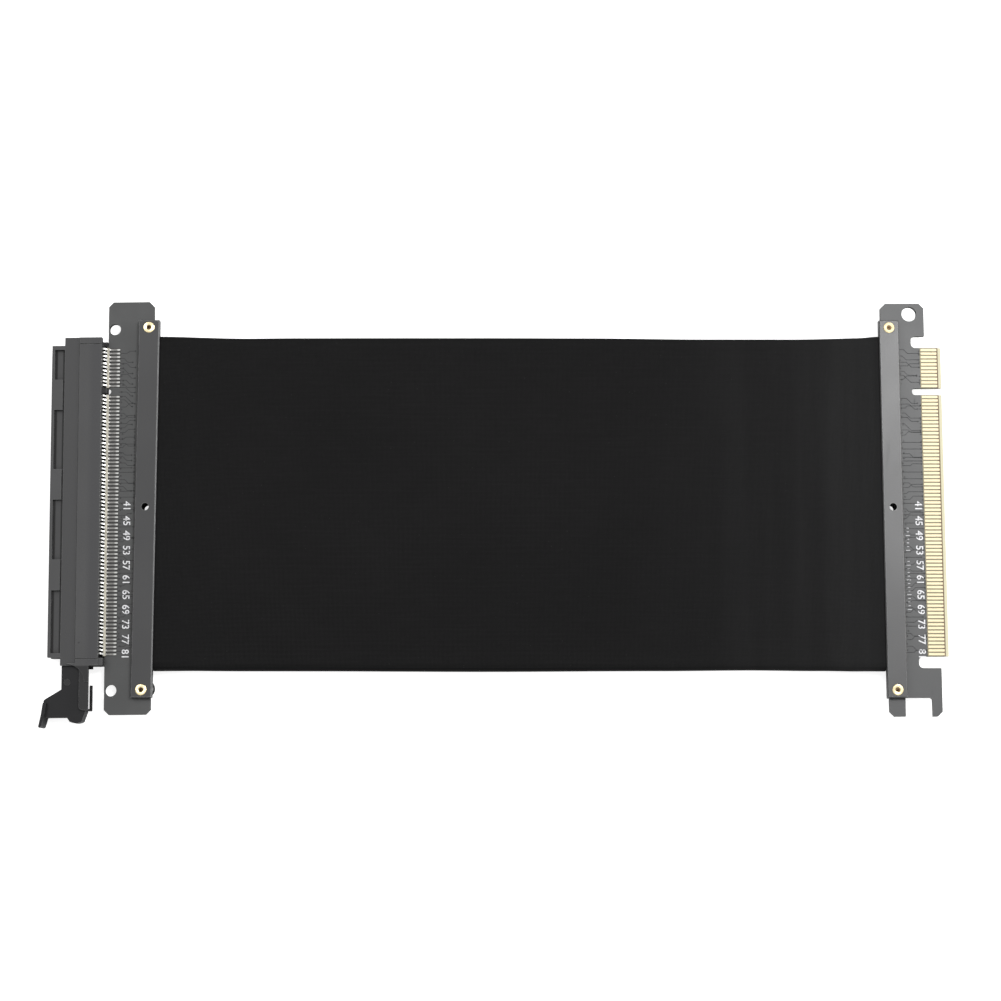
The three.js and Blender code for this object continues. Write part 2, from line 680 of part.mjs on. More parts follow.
// A flat ring under one eyelet's back flange.
function backWasher() {
  const back = -STACK / 2;
  const z = [back - WASHER, back];
  return cut(disc(0, 0, WASHER_R, z), disc(0, 0, EYELET_SHANK_R + FIT / 2, [z[0] - 1, z[1] + 1], 16));
}

// How the cable runs: its mid-height sinks from the slot's board to the table and rises to the plug's,
// and the two ribbon layers close up as they leave the boards.
const ease = (t) => THREE.MathUtils.smoothstep(t, 0, 1);
const fromSlot = (x) => x + BAR_SPAN / 2 - SLOT_BAR_WIDTH / 2;
const fromPlug = (x) => BAR_SPAN / 2 - PLUG_BAR_WIDTH / 2 - x;

function layerOffset(x) {
  const closed = ease(fromSlot(x) / CLOSE_LENGTH) * ease(fromPlug(x) / CLOSE_LENGTH);
  return THREE.MathUtils.lerp(LAYER_APART, LAYER_CLOSED, closed);
}

function midHeight(x) {
  const lying = LAYER_CLOSED + SLEEVE_OVER;
  const nearSlot = THREE.MathUtils.lerp(SLOT_Z, lying, ease(fromSlot(x) / DROP_LENGTH));
  const nearPlug = THREE.MathUtils.lerp(PLUG_Z, lying, ease(fromPlug(x) / DROP_LENGTH));
  return x < 0 ? nearSlot : nearPlug;
}

// Stations along X, close together where the cable bends and none where it runs straight.
function stations(x0, x1) {
  const bends = 8;
  const slotBend = Array.from({ length: bends + 1 }, (_, i) => -BAR_SPAN / 2 + SLOT_BAR_WIDTH / 2
    + (DROP_LENGTH * i) / bends);
  const plugBend = Array.from({ length: bends + 1 }, (_, i) => BAR_SPAN / 2 - PLUG_BAR_WIDTH / 2
    - (DROP_LENGTH * (bends - i)) / bends);
  const between = [...slotBend, ...plugBend].filter((x) => x > x0 + 0.2 && x < x1 - 0.2);
  return [x0, ...between, x1];
}

// A flat ribbon of one layer: side is +1 in front of the boards and -1 behind them.
function ribbon(side, x0, x1) {
  const xs = stations(x0, x1);
  const edge = (offset) => xs.map((x) => [x, midHeight(x) + side * layerOffset(x) + offset]);
  return section([...edge(-STRIP / 2), ...edge(STRIP / 2).reverse()], [0, STRIP_WIDTH]);
}

// The Y of each ribbon's lower edge: as many above the centre hole as below it.
function ribbonEdges() {
  const edges = [];
  for (let i = 0; i < STRIPS_PER_SIDE; i += 1) {
    const inner = CENTRE_GAP / 2 + i * (STRIP_WIDTH + STRIP_GAP);
    edges.push(inner, -inner - STRIP_WIDTH);
  }
  return edges.sort((a, b) => b - a);
}

function ribbons() {
  const layers = [
    { name: 'front_ribbon', side: 1, lap: STRIP_LAP },
    { name: 'back_ribbon', side: -1, lap: BACK_BAR_WIDTH / 2 - BAR_WALL - 0.1 },
  ];
  return layers.flatMap(({ name, side, lap }) => {
    const strip = ribbon(side, -BAR_SPAN / 2 - lap, BAR_SPAN / 2 + lap);
    return ribbonEdges().map((y, index) => {
      const mesh = node(`${name}_${index + 1}`, strip, MATERIALS.ribbon);
      mesh.position.y = y;
      return mesh;
    });
  });
}

// A flat ring's outline with round side edges, from one side edge to the other.
function sleeveRing(low, high, half, radius) {
  const ring = new THREE.Shape();
  ring.absarc(high - radius, half - radius, radius, 0, Math.PI / 2);
  ring.absarc(low + radius, half - radius, radius, Math.PI / 2, Math.PI);
  ring.absarc(low + radius, radius - half, radius, Math.PI, 1.5 * Math.PI);
  ring.absarc(high - radius, radius - half, radius, 1.5 * Math.PI, 2 * Math.PI);
  return ring;
}

// The cloth sleeve: a flattened tube, open at both ends, that follows the ribbons.
function cableSleeve() {
  const x0 = -BAR_SPAN / 2 + SLOT_BAR_WIDTH / 2 + SLEEVE_TO_BAR;
  const x1 = BAR_SPAN / 2 - PLUG_BAR_WIDTH / 2 - SLEEVE_TO_BAR;
  const half = LAYER_CLOSED + SLEEVE_OVER;
  const low = -STRIPS_HALF - SLEEVE_SIDE - SLEEVE_WALL;
  const high = STRIPS_HALF + SLEEVE_SIDE + SLEEVE_SLACK + SLEEVE_WALL;
  const ring = sleeveRing(low, high, half, SLEEVE_EDGE_R);
  const inside = sleeveRing(low + SLEEVE_WALL, high - SLEEVE_WALL, half - SLEEVE_WALL,
    SLEEVE_EDGE_R - SLEEVE_WALL);
  ring.holes.push(inside);
  const xs = stations(x0, x1);
  const tube = new THREE.ExtrudeGeometry(ring, {
    depth: xs.length - 1, steps: xs.length - 1, bevelEnabled: false, curveSegments: 2,
  });
  const place = tube.getAttribute('position');
  for (let i = 0; i < place.count; i += 1) {
    const x = xs[Math.round(place.getZ(i))];
    const spread = Math.sign(place.getY(i)) * (layerOffset(x) - LAYER_CLOSED);
    place.setXYZ(i, x, place.getX(i), midHeight(x) + place.getY(i) + spread);
  }
  return node('cable_sleeve', solidOf(tube), MATERIALS.sleeve);
}

// Bars and eyelets of one end, in that end's frame. `facing` turns the bars' open side towards the cable.
function clampParts(prefix, frontWidth, facing, washerAtLower) {
  const front = node(`${prefix}_front_bar`, clampBar(frontWidth), MATERIALS.bar);
  const back = node(`${prefix}_back_bar`, mirrorImage(clampBar(BACK_BAR_WIDTH)), MATERIALS.bar);
  front.rotation.z = facing;
  back.rotation.z = facing;
  const upper = node(`${prefix}_upper_eyelet`, eyelet(), MATERIALS.eyelet);
  const lower = node(`${prefix}_lower_eyelet`, eyelet(washerAtLower ? WASHER : 0), MATERIALS.eyelet);
  upper.position.y = EYELET_Y;
  lower.position.y = -EYELET_Y;
  const parts = [front, back, upper, lower];
  if (washerAtLower) {
    const washer = node(`${prefix}_washer`, backWasher(), MATERIALS.washer);
    washer.position.y = -EYELET_Y;
    parts.push(washer);
  }
  return parts;
}

function slotEnd() {
  const end = new THREE.Group();
  const askew = new THREE.Group();
  askew.add(slotHousing(), slotLatch(), slotBoard());
  askew.rotation.z = THREE.MathUtils.degToRad(SLOT_YAW_DEG);
  end.add(askew, ...clampParts('slot', SLOT_BAR_WIDTH, 0, true));
  end.position.set(-BAR_SPAN / 2, 0, SLOT_Z);
  return end;
}

function plugEnd() {
  const end = new THREE.Group();
  end.add(plugBoard(), ...clampParts('plug', PLUG_BAR_WIDTH, Math.PI, false));
  end.position.set(BAR_SPAN / 2, 0, PLUG_Z);
  return end;
}

// The whole cable, centred over the origin and standing on Z = 0.
function riserCable() {
  const group = new THREE.Group();
  group.add(slotEnd(), plugEnd(), ...ribbons(), cableSleeve());
  group.updateMatrixWorld(true);
  const box = new THREE.Box3().setFromObject(group, true);
  const centre = box.getCenter(new THREE.Vector3());
  group.position.set(-centre.x, -centre.y, -box.min.z);
  return group;
}

export default riserCable();
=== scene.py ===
"""Looks of a graphics card riser cable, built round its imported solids.

Sizes are in millimetres unless a name or a note says metres. Each end has its own frame: the origin is in the
middle of its clamp bar, +X points to the right and Z is the height above the table. Contact rows are counted from
the short group's end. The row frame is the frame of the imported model.
"""

import json
import logging
import math
import random
from contextlib import contextmanager
from dataclasses import dataclass, field
from enum import Enum
from typing import Callable, Iterator, Sequence

import bmesh
import bpy
from mathutils import Matrix, Vector

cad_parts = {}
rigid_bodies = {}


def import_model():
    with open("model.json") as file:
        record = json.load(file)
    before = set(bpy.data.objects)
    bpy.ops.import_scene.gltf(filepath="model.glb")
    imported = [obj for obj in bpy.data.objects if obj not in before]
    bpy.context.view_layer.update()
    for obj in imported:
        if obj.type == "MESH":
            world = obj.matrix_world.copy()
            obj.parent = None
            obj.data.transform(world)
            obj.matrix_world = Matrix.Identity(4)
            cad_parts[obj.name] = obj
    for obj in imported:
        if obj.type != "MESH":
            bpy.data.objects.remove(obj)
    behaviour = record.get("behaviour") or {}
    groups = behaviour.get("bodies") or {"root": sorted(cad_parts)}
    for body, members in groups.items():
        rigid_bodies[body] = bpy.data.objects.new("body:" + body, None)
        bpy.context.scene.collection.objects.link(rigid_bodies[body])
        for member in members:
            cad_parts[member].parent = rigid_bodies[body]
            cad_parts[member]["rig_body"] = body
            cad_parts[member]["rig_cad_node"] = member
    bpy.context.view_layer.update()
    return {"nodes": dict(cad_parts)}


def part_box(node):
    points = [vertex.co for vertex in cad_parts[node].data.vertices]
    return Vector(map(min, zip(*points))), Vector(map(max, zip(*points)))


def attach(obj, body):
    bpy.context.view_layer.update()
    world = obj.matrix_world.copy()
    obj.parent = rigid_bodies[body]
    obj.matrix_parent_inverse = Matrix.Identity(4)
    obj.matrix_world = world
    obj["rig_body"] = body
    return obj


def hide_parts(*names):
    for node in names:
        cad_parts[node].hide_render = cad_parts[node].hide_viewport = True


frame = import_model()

logging.basicConfig(level=logging.INFO, format="%(message)s")
log = logging.getLogger("riser")

MM = 0.001
PITCH = 1.0
SHORT_ROWS = 11
LONG_ROWS = 71
ROW_Y = 1.95
FIRST_ROW = 41.5
KEY_JUMP = 2.0
LAST_ROW = SHORT_ROWS + LONG_ROWS - 1
KEY_Y = ROW_Y + 30.0
BOARD_HALF = 0.8

Point = tuple[float, float, float]
Colour = tuple[float, float, float]
Socket = bpy.types.NodeSocket
Thing = bpy.types.Object


class Body(Enum):
    """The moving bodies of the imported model."""

    CABLE = "cable"
    LATCH = "latch"


class Side(Enum):
    """The face of a board that a detail lies on."""

    UPPER = 1
    LOWER = -1


def row_y(row: int) -> float:
    """Place of a contact row along its connector, in millimetres."""
    return ROW_Y + FIRST_ROW - row * PITCH - (KEY_JUMP if row >= SHORT_ROWS else 0.0)


# Mesh tools


def deselect_all() -> None:
    """Leaves no object selected."""
    bpy.ops.object.select_all(action="DESELECT")


def make_active(obj: Thing) -> None:
    """Leaves only this object selected, and makes it the active one."""
    deselect_all()
    obj.select_set(True)
    bpy.context.view_layer.objects.active = obj


@contextmanager
def editing(obj: Thing, kind: str = "FACE", test: Callable | None = None) -> Iterator[None]:
    """Edit mode on one object.

    Args:
        obj: the object to edit.
        kind: VERT, EDGE or FACE selection.
        test: says which edges or faces to select first, and no others.
    """
    make_active(obj)
    bpy.ops.object.mode_set(mode="EDIT")
    bpy.ops.mesh.select_mode(type=kind)
    if test:
        bpy.ops.mesh.select_all(action="DESELECT")
        mesh = bmesh.from_edit_mesh(obj.data)
        for item in mesh.edges if kind == "EDGE" else mesh.faces:
            item.select_set(test(item))
        mesh.select_flush_mode()
        bmesh.update_edit_mesh(obj.data)
    try:
        yield
    finally:
        bpy.ops.object.mode_set(mode="OBJECT")


def bevel_edges(obj: Thing, test: Callable[[bmesh.types.BMEdge], bool], width: float, segments: int = 2) -> None:
    """Bevels the edges that pass a test.

    Args:
        obj: the object.
        test: says which edges.
        width: how wide the bevel is, in millimetres.
        segments: how many steps it has.
    """
    with editing(obj, "EDGE", test):
        bpy.ops.mesh.bevel(offset=width * MM, segments=segments)


def inset(width: float) -> None:
    """Insets the selected faces by a width in millimetres."""
    bpy.ops.mesh.inset(thickness=width * MM, depth=0.0)


def extrude(offset: Point) -> None:
    """Extrudes the selected faces by an offset in millimetres."""
    bpy.ops.mesh.extrude_region_move(TRANSFORM_OT_translate={"value": Vector(offset) * MM})


def settled(name: str) -> Thing:
    """Names the object just added, and moves its place, turn and scale into its mesh."""
    obj = bpy.context.object
    obj.name = obj.data.name = name
    bpy.ops.object.transform_apply(location=True, rotation=True, scale=True)
    return obj


def linked(name: str, data: bpy.types.ID) -> Thing:
    """A new object in the scene that shows this data."""
    obj = bpy.data.objects.new(name, data)
    bpy.context.scene.collection.objects.link(obj)
    return obj


def block(name: str, low: Point, high: Point) -> Thing:
    """A box to shape further.

    Args:
        name: the object's name.
        low: its lowest corner, in millimetres.
        high: its highest corner, in millimetres.

    Returns:
        The new object, with its place in its mesh.
    """
    a, b = Vector(low) * MM, Vector(high) * MM
    deselect_all()
    bpy.ops.mesh.primitive_cube_add(size=1, location=(a + b) / 2)
    bpy.context.object.scale = b - a
    return settled(name)


def drum(name: str, centre: tuple[float, float], radius: float, low: float, high: float, sides: int) -> Thing:
    """A short upright cylinder to shape further.

    Args:
        name: the object's name.
        centre: its axis, in millimetres.
        radius: its radius, in millimetres.
        low: the height of its lower face, in millimetres.
        high: the height of its upper face, in millimetres.
        sides: how many sides it has.

    Returns:
        The new object, with its place in its mesh.
    """
    place = Vector((*centre, (low + high) / 2)) * MM
    deselect_all()
    bpy.ops.mesh.primitive_cylinder_add(vertices=sides, radius=radius * MM, depth=(high - low) * MM, location=place)
    return settled(name)


def modify(obj: Thing, kind: str, **settings: object) -> None:
    """Adds a modifier and applies it.

    Args:
        obj: the object.
        kind: the modifier's type.
        **settings: values of the modifier's properties.
    """
    modifier = obj.modifiers.new(kind.title(), kind)
    for key, value in settings.items():
        setattr(modifier, key, value)
    make_active(obj)
    bpy.ops.object.modifier_apply(modifier=modifier.name)


def repeat_down(obj: Thing, count: int, step: float) -> None:
    """Repeats a shape towards -Y, count times in all, step millimetres apart."""
    modify(obj, "ARRAY", count=count, use_relative_offset=False, use_constant_offset=True,
           constant_offset_displace=(0.0, -step * MM, 0.0))


def moved_copy(obj: Thing, offset: Point) -> Thing:
    """A copy with its own mesh, moved by an offset in millimetres."""
    twin = obj.copy()
    twin.data = obj.data.copy()
    bpy.context.scene.collection.objects.link(twin)
    twin.data.transform(Matrix.Translation(Vector(offset) * MM))
    return twin


def joined(name: str, parts: Sequence[Thing]) -> Thing:
    """Joins several meshes.

    Args:
        name: the joined object's name.
        parts: the objects, of which the first one stays.

    Returns:
        The joined object.
    """
    make_active(parts[0])
    for part in parts:
        part.select_set(True)
    bpy.ops.object.join()
    parts[0].name = parts[0].data.name = name
    return parts[0]


def along_rows(obj: Thing, extra: int = 0) -> list[Thing]:
    """Repeats a shape along the short and the long group of rows.

    Args:
        obj: the shape, in row 0.
        extra: how many more of it than rows each group gets.

    Returns:
        The two groups.
    """
    long_group = moved_copy(obj, (0.0, row_y(SHORT_ROWS) - row_y(0), 0.0))
    repeat_down(obj, SHORT_ROWS + extra, PITCH)
    repeat_down(long_group, LONG_ROWS + extra, PITCH)
    return [obj, long_group]


def dress(obj: Thing, material: bpy.types.Material, end: "EndFrame | None" = None,
          replaces: Sequence[str] = (), body: Body = Body.CABLE) -> None:
    """Gives a finished piece its place, its material and its body, and reports it.

    Args:
        obj: the piece.
        material: its material.
        end: the frame that its mesh is in, if it isn't in the row frame yet.
        replaces: the CAD nodes that it stands for.
        body: the body that it rides on.
    """
    if end:
        obj.data.transform(end.matrix())
    obj.data.materials.clear()
    obj.data.materials.append(material)
    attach(obj, body.value)
    if replaces:
        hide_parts(*replaces)
    log.info("piece %s: %d faces on %s", obj.name, len(obj.data.polygons), body.value)


@dataclass(frozen=True)
class EndFrame:
    """The frame of one end of the cable.

    Attributes:
        origin: the middle of its clamp bars in the row frame, in metres.
        middle: the height of the middle of its board, in millimetres.
        yaw: how far its connector is turned, in radians.
    """

    origin: tuple[float, float]
    middle: float
    yaw: float = 0.0

    @staticmethod
    def of_bars(front: str, back: str, yaw_degrees: float = 0.0) -> "EndFrame":
        """The frame of the end that two CAD bars clamp.

        Args:
            front: the upper bar's node.
            back: the lower bar's node.
            yaw_degrees: how far the connector is turned against the bars.

        Returns:
            The end's frame.
        """
        low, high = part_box(front)
        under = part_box(back)[0]
        middle = (low + high) / 2
        return EndFrame((middle.x, middle.y), (high.z + under.z) / 2 / MM, math.radians(yaw_degrees))

    @property
    def top(self) -> float:
        """Height of the board's upper face, in millimetres."""
        return self.middle + BOARD_HALF

    def matrix(self) -> Matrix:
        """Takes a point of this frame, in metres, to the row frame."""
        return Matrix.Translation((*self.origin, 0.0)) @ Matrix.Rotation(self.yaw, 4, "Z")

    def face(self, side: Side) -> float:
        """Height of one face of the board, in millimetres."""
        return self.middle + side.value * BOARD_HALF


# Materials

ZERO = (0.0, 0.0, 0.0)


def scaled(colour: Colour, factor: float) -> Colour:
    """A colour made darker or lighter, up to white."""
    return tuple(min(1.0, c * factor) for c in colour)


class Wiring:
    """Adds nodes to one node tree and joins them."""

    def __init__(self, tree: bpy.types.NodeTree) -> None:
        """Works on this tree."""
        self.tree = tree

    def feed(self, node: bpy.types.Node, inputs: dict) -> bpy.types.Node:
        """Joins or sets a node's inputs.

        Args:
            node: the node.
            inputs: a socket to join or a value for each input, by name or number.

        Returns:
            The same node.
        """
        for key, value in inputs.items():
            if isinstance(value, Socket):
                self.tree.links.new(value, node.inputs[key])
            else:
                node.inputs[key].default_value = value
        return node

    def add(self, kind: str, inputs: dict | None = None, **settings: object) -> bpy.types.Node:
        """Adds a node.

        Args:
            kind: the node's type.
            inputs: a socket to join or a value for each input, by name or number.
            **settings: values of the node's properties.

        Returns:
            The new node.
        """
        node = self.tree.nodes.new(kind)
        for key, value in settings.items():
            setattr(node, key, value)
        return self.feed(node, inputs or {})

    def math(self, operation: str, *values: object, clamp: bool = False) -> Socket:
        """A Math node's result for these values or sockets."""
        return self.add("ShaderNodeMath", dict(enumerate(values)), operation=operation, use_clamp=clamp).outputs[0]

    def vector(self, operation: str, *values: object, output: str = "Vector") -> Socket:
        """A Vector Math node's result for these values or sockets."""
        return self.add("ShaderNodeVectorMath", dict(enumerate(values)), operation=operation).outputs[output]

    def blend(self, share: object, first: object, second: object) -> Socket:
        """A colour between two others, by a mask."""
        ends = [(*colour, 1.0) if isinstance(colour, tuple) else colour for colour in (first, second)]
        return self.add("ShaderNodeMix", {0: share, 6: ends[0], 7: ends[1]}, data_type="RGBA").outputs[2]

    def between(self, share: object, first: object, second: object) -> Socket:
        """A number between two others, by a mask."""
        return self.add("ShaderNodeMix", {0: share, 2: first, 3: second}, data_type="FLOAT").outputs[0]

    def ramp(self, value: object, low: float, high: float, start: float = 0.0, end: float = 1.0) -> Socket:
        """Maps low..high to start..end, smoothly and clamped."""
        node = self.add("ShaderNodeMapRange", {0: value, 1: low, 2: high, 3: start, 4: end},
                        interpolation_type="SMOOTHSTEP")
        return node.outputs[0]

    def parts(self, vector: object) -> list[Socket]:
        """The three parts of a vector."""
        return list(self.add("ShaderNodeSeparateXYZ", {0: vector}).outputs)

    def noise(self, vector: object, scale: object, detail: float = 2.0) -> Socket:
        """Noise from 0 to 1."""
        return self.add("ShaderNodeTexNoise", {"Vector": vector, "Scale": scale, "Detail": detail}).outputs["Fac"]

    def effect(self, effect: "Effect", **inputs: object) -> dict[str, Socket]:
        """Places a shared effect.

        Args:
            effect: the effect.
            **inputs: its inputs.

        Returns:
            Its outputs, by name.
        """
        node = self.feed(self.add("ShaderNodeGroup", node_tree=effect.group()), inputs)
        return {socket.name: socket for socket in node.outputs}


@dataclass
class Effect:
    """A shader node group that several materials share.

    Attributes:
        name: the group's name.
        inputs: the default of each input, a number or a vector.
        outputs: the outputs' names.
        wire: adds the nodes, and gives the socket of each output.
        tree: the group, once it is built.
    """

    name: str
    inputs: dict[str, object]
    outputs: tuple[str, ...]
    wire: Callable[[Wiring, Callable[[str], Socket]], dict[str, Socket]]
    tree: bpy.types.NodeTree | None = None

    def group(self) -> bpy.types.NodeTree:
        """The node group, built at its first use."""
        if self.tree is None:
            self.tree = bpy.data.node_groups.new(self.name, "ShaderNodeTree")
            sockets = self.tree.interface
            for label, value in self.inputs.items():
                kind = "NodeSocketFloat" if isinstance(value, float) else "NodeSocketVector"
                sockets.new_socket(label, in_out="INPUT", socket_type=kind).default_value = value
            for label in self.outputs:
                sockets.new_socket(label, in_out="OUTPUT", socket_type="NodeSocketFloat")
            w = Wiring(self.tree)
            entry = w.add("NodeGroupInput").outputs
            w.add("NodeGroupOutput", self.wire(w, lambda label: entry[label]))
        return self.tree


def shared(name: str, inputs: dict[str, object], *outputs: str) -> Callable[[Callable], Effect]:
    """Turns a function that wires nodes into an effect.

    Args:
        name: the group's name.
        inputs: the default of each input.
        *outputs: the outputs' names.

    Returns:
        The decorator.
    """
    return lambda wire: Effect(name, inputs, outputs, wire)


@shared("Fine grain", {"Vector": ZERO, "Scale": 2600.0, "Drift": 45.0}, "Height", "Tone", "Scuff")
def fine_grain(w: Wiring, given: Callable) -> dict[str, Socket]:
    """Fine grain, its slow drift, and sparse scuffs."""
    fine = w.noise(given("Vector"), given("Scale"), 3.0)
    slow = w.noise(given("Vector"), given("Drift"), 2.0)
    stretched = w.vector("MULTIPLY", given("Vector"), (1.0, 0.12, 1.0))
    scuff = w.ramp(w.noise(stretched, w.math("MULTIPLY", given("Drift"), 9.0), 4.0), 0.64, 0.8)
    return {"Height": fine, "Tone": slow, "Scuff": scuff}


@shared("Painted edge light", {"Vector": ZERO, "Radius": 0.0002}, "Mask")
def edge_light(w: Wiring, given: Callable) -> dict[str, Socket]:
    """A mask of the sharp outer edges, broken up a little, where painted edge light goes."""
    rounded = w.add("ShaderNodeBevel", {"Radius": given("Radius")}, samples=4).outputs[0]
    plain = w.add("ShaderNodeNewGeometry").outputs["Normal"]
    turned = w.math("SUBTRACT", 1.0, w.vector("DOT_PRODUCT", rounded, plain, output="Value"))
    broken = w.ramp(w.noise(given("Vector"), 420.0, 2.0), 0.3, 0.65, 0.45, 1.0)
    return {"Mask": w.math("MULTIPLY", w.ramp(turned, 0.015, 0.16), broken)}


@shared("Painted corner shade", {"Reach": 0.0012}, "Mask")
def hollows(w: Wiring, given: Callable) -> dict[str, Socket]:
    """A mask of painted shade in the corners and grooves, where little light reaches."""
    open_sky = w.add("ShaderNodeAmbientOcclusion", {"Distance": given("Reach")}, samples=6).outputs["AO"]
    return {"Mask": w.ramp(open_sky, 0.35, 0.92, 1.0, 0.0)}


@shared("Zone", {"Vector": ZERO, "Low": ZERO, "High": ZERO, "Soft": 0.0001}, "Mask")
def box_zone(w: Wiring, given: Callable) -> dict[str, Socket]:
    """A mask of what lies in a box with soft sides."""
    soft = w.add("ShaderNodeCombineXYZ", {i: given("Soft") for i in range(3)}).outputs[0]
    mask: object = 1.0
    for first, second in (("Vector", "Low"), ("High", "Vector")):
        depth = w.vector("DIVIDE", w.vector("SUBTRACT", given(first), given(second)), soft)
        for part in w.parts(depth):
            mask = w.math("MULTIPLY", mask, w.math("ADD", part, 0.5, clamp=True))
    return {"Mask": mask}


@shared("Specks", {"Vector": ZERO, "Scale": 500.0, "Cover": 0.05}, "Mask")
def small_specks(w: Wiring, given: Callable) -> dict[str, Socket]:
    """A mask of small round specks, such as dust or pits."""
    cells = w.add("ShaderNodeTexVoronoi", {"Vector": given("Vector"), "Scale": given("Scale")}).outputs
    near = w.ramp(cells["Distance"], 0.16, 0.3, 1.0, 0.0)
    chosen = w.add("ShaderNodeSeparateColor", {0: cells["Color"]}).outputs[0]
    return {"Mask": w.math("MULTIPLY", near, w.math("LESS_THAN", chosen, given("Cover")))}


@shared("Weave", {"Vector": ZERO, "Pitch": 0.00032}, "Height", "Slubs")
def plain_weave(w: Wiring, given: Callable) -> dict[str, Socket]:
    """Plain weave across two directions, with uneven yarns."""
    uneven = w.noise(given("Vector"), 130.0, 3.0)
    shift = w.math("MULTIPLY", uneven, given("Pitch"))
    waves = []
    for part in w.parts(given("Vector"))[:2]:
        turns = w.math("DIVIDE", w.math("ADD", part, shift), given("Pitch"))
        waves.append(w.math("SINE", w.math("MULTIPLY", turns, math.tau / 2)))
    crossed = w.math("ABSOLUTE", w.math("MULTIPLY", *waves))
    height = w.math("ADD", w.math("MULTIPLY", crossed, 0.75), w.math("MULTIPLY", uneven, 0.25))
    stretched = w.vector("MULTIPLY", given("Vector"), (0.03, 1.0, 1.0))
    return {"Height": height, "Slubs": w.noise(stretched, 2400.0, 1.0)}


class Surface(Wiring):
    """The nodes of a new material, round its Principled shader."""

    def __init__(self, name: str) -> None:
        """Starts the material of that name."""
        self.material = bpy.data.materials.new(name)
        self.material.use_nodes = True
        super().__init__(self.material.node_tree)
        self.place = self.add("ShaderNodeTexCoord").outputs["Object"]

    def finished(self, inputs: dict, height: Socket, relief: float, strength: float = 1.0) -> bpy.types.Material:
        """Joins the shader and its bump.

        Args:
            inputs: the shader's inputs.
            height: the bump's height.
            relief: how high that is, in metres.
            strength: how strong the bump is.

        Returns:
            The material.
        """
        bump = self.add("ShaderNodeBump", {"Height": height, "Distance": relief, "Strength": strength})
        self.feed(self.tree.nodes["Principled BSDF"], {**inputs, "Normal": bump.outputs[0]})
        return self.material


@dataclass(frozen=True)
class Zone:
    """A box of an end's frame where a finish changes.

    Attributes:
        low: its lowest corner, in millimetres.
        high: its highest corner, in millimetres.
        colour: the colour in it.
        roughness: the roughness in it.
        metallic: how metallic it is in it.
        soft: how wide its border is, in millimetres.
    """

    low: Point
    high: Point
    colour: Colour
    roughness: float
    metallic: float = 0.0
    soft: float = 0.06


@dataclass(frozen=True)
class Finish:
    """A finish with grain, drift of tone, painted edge light, painted corner shade, specks and zones.

    Attributes:
        name: the material's name.
        colour: its main colour.
        roughness: its mean roughness.
        metallic: how metallic it is.
        specular: its specular level.
        grain: grain size as a scale, per metre.
        relief: the grain's height, in metres.
        drift: how far the tone drifts, as a share.
        drift_scale: the drift's scale, per metre.
        edge: how strong the painted edge light is.
        edge_colour: the colour painted on the edges, a painted highlight on the dark parts and painted shade on the
            metals.
        edge_radius: how wide the painted edge light is, in metres.
        speck: the share of cells that hold a speck.
        speck_colour: the colour of the specks.
        scuff: how much the scuffs dull it.
        hollow: how much painted shade darkens its corners and grooves.
        reach: how far the painted shade of a corner reaches, in metres.
        home: the end whose frame the zones use.
        zones: boxes where it changes.
    """

    name: str
    colour: Colour
    roughness: float
    metallic: float = 0.0
    specular: float = 0.5
    grain: float = 2600.0
    relief: float = 0.00002
    drift: float = 0.12
    drift_scale: float = 45.0
    edge: float = 0.5
    edge_colour: Colour = (0.3, 0.3, 0.3)
    edge_radius: float = 0.00018
    speck: float = 0.0
    speck_colour: Colour = (0.3, 0.3, 0.3)
    scuff: float = 0.12
    hollow: float = 0.75
    reach: float = 0.0011
    home: EndFrame | None = None
    zones: tuple[Zone, ...] = ()

    def build(self) -> bpy.types.Material:
        """Makes the material."""
        w = Surface(self.name)
        grain = w.effect(fine_grain, Vector=w.place, Scale=self.grain, Drift=self.drift_scale)
        dark, light, fine = (scaled(self.colour, 1 + self.drift * share) for share in (-1.0, 1.0, -0.8))
        colour = w.blend(w.ramp(grain["Tone"], 0.3, 0.7), dark, light)
        colour = w.blend(w.ramp(grain["Height"], 0.5, 0.28, 0.0, 0.6), colour, fine)
        rough = w.between(grain["Tone"], self.roughness - 0.05, self.roughness + 0.05)
        rough = w.math("ADD", rough, w.math("MULTIPLY", grain["Scuff"], self.scuff), clamp=True)
        metal: object = self.metallic
        if self.speck:
            specks = w.effect(small_specks, Vector=w.place, Scale=900.0, Cover=self.speck)["Mask"]
            colour = w.blend(specks, colour, self.speck_colour)
        if self.zones:
            turn = (0.0, 0.0, self.home.yaw)
            local = w.add("ShaderNodeMapping", {"Vector": w.place, "Location": (*self.home.origin, 0.0),
                                                "Rotation": turn}, vector_type="TEXTURE").outputs[0]
            for zone in self.zones:
                low, high = (tuple(v * MM for v in corner) for corner in (zone.low, zone.high))
                mask = w.effect(box_zone, Vector=local, Low=low, High=high, Soft=zone.soft * MM)["Mask"]
                colour = w.blend(mask, colour, zone.colour)
                rough = w.between(mask, rough, zone.roughness)
                metal = w.between(mask, metal, zone.metallic)
        # Painted shade: corners and grooves darkened from ambient occlusion.
        if self.hollow:
            shade = w.math("MULTIPLY", w.effect(hollows, Reach=self.reach)["Mask"], self.hollow)
            colour = w.blend(shade, colour, scaled(self.colour, 0.12))
        # Painted edge light: a painted highlight along the edges of dark parts, painted shade along those of the
        # metals.
        if self.edge:
            edges = w.effect(edge_light, Vector=w.place, Radius=self.edge_radius)["Mask"]
            colour = w.blend(w.math("MULTIPLY", edges, self.edge), colour, self.edge_colour)
        return w.finished({"Base Color": colour, "Roughness": rough, "Metallic": metal,
                           "Specular IOR Level": self.specular}, grain["Height"], self.relief)


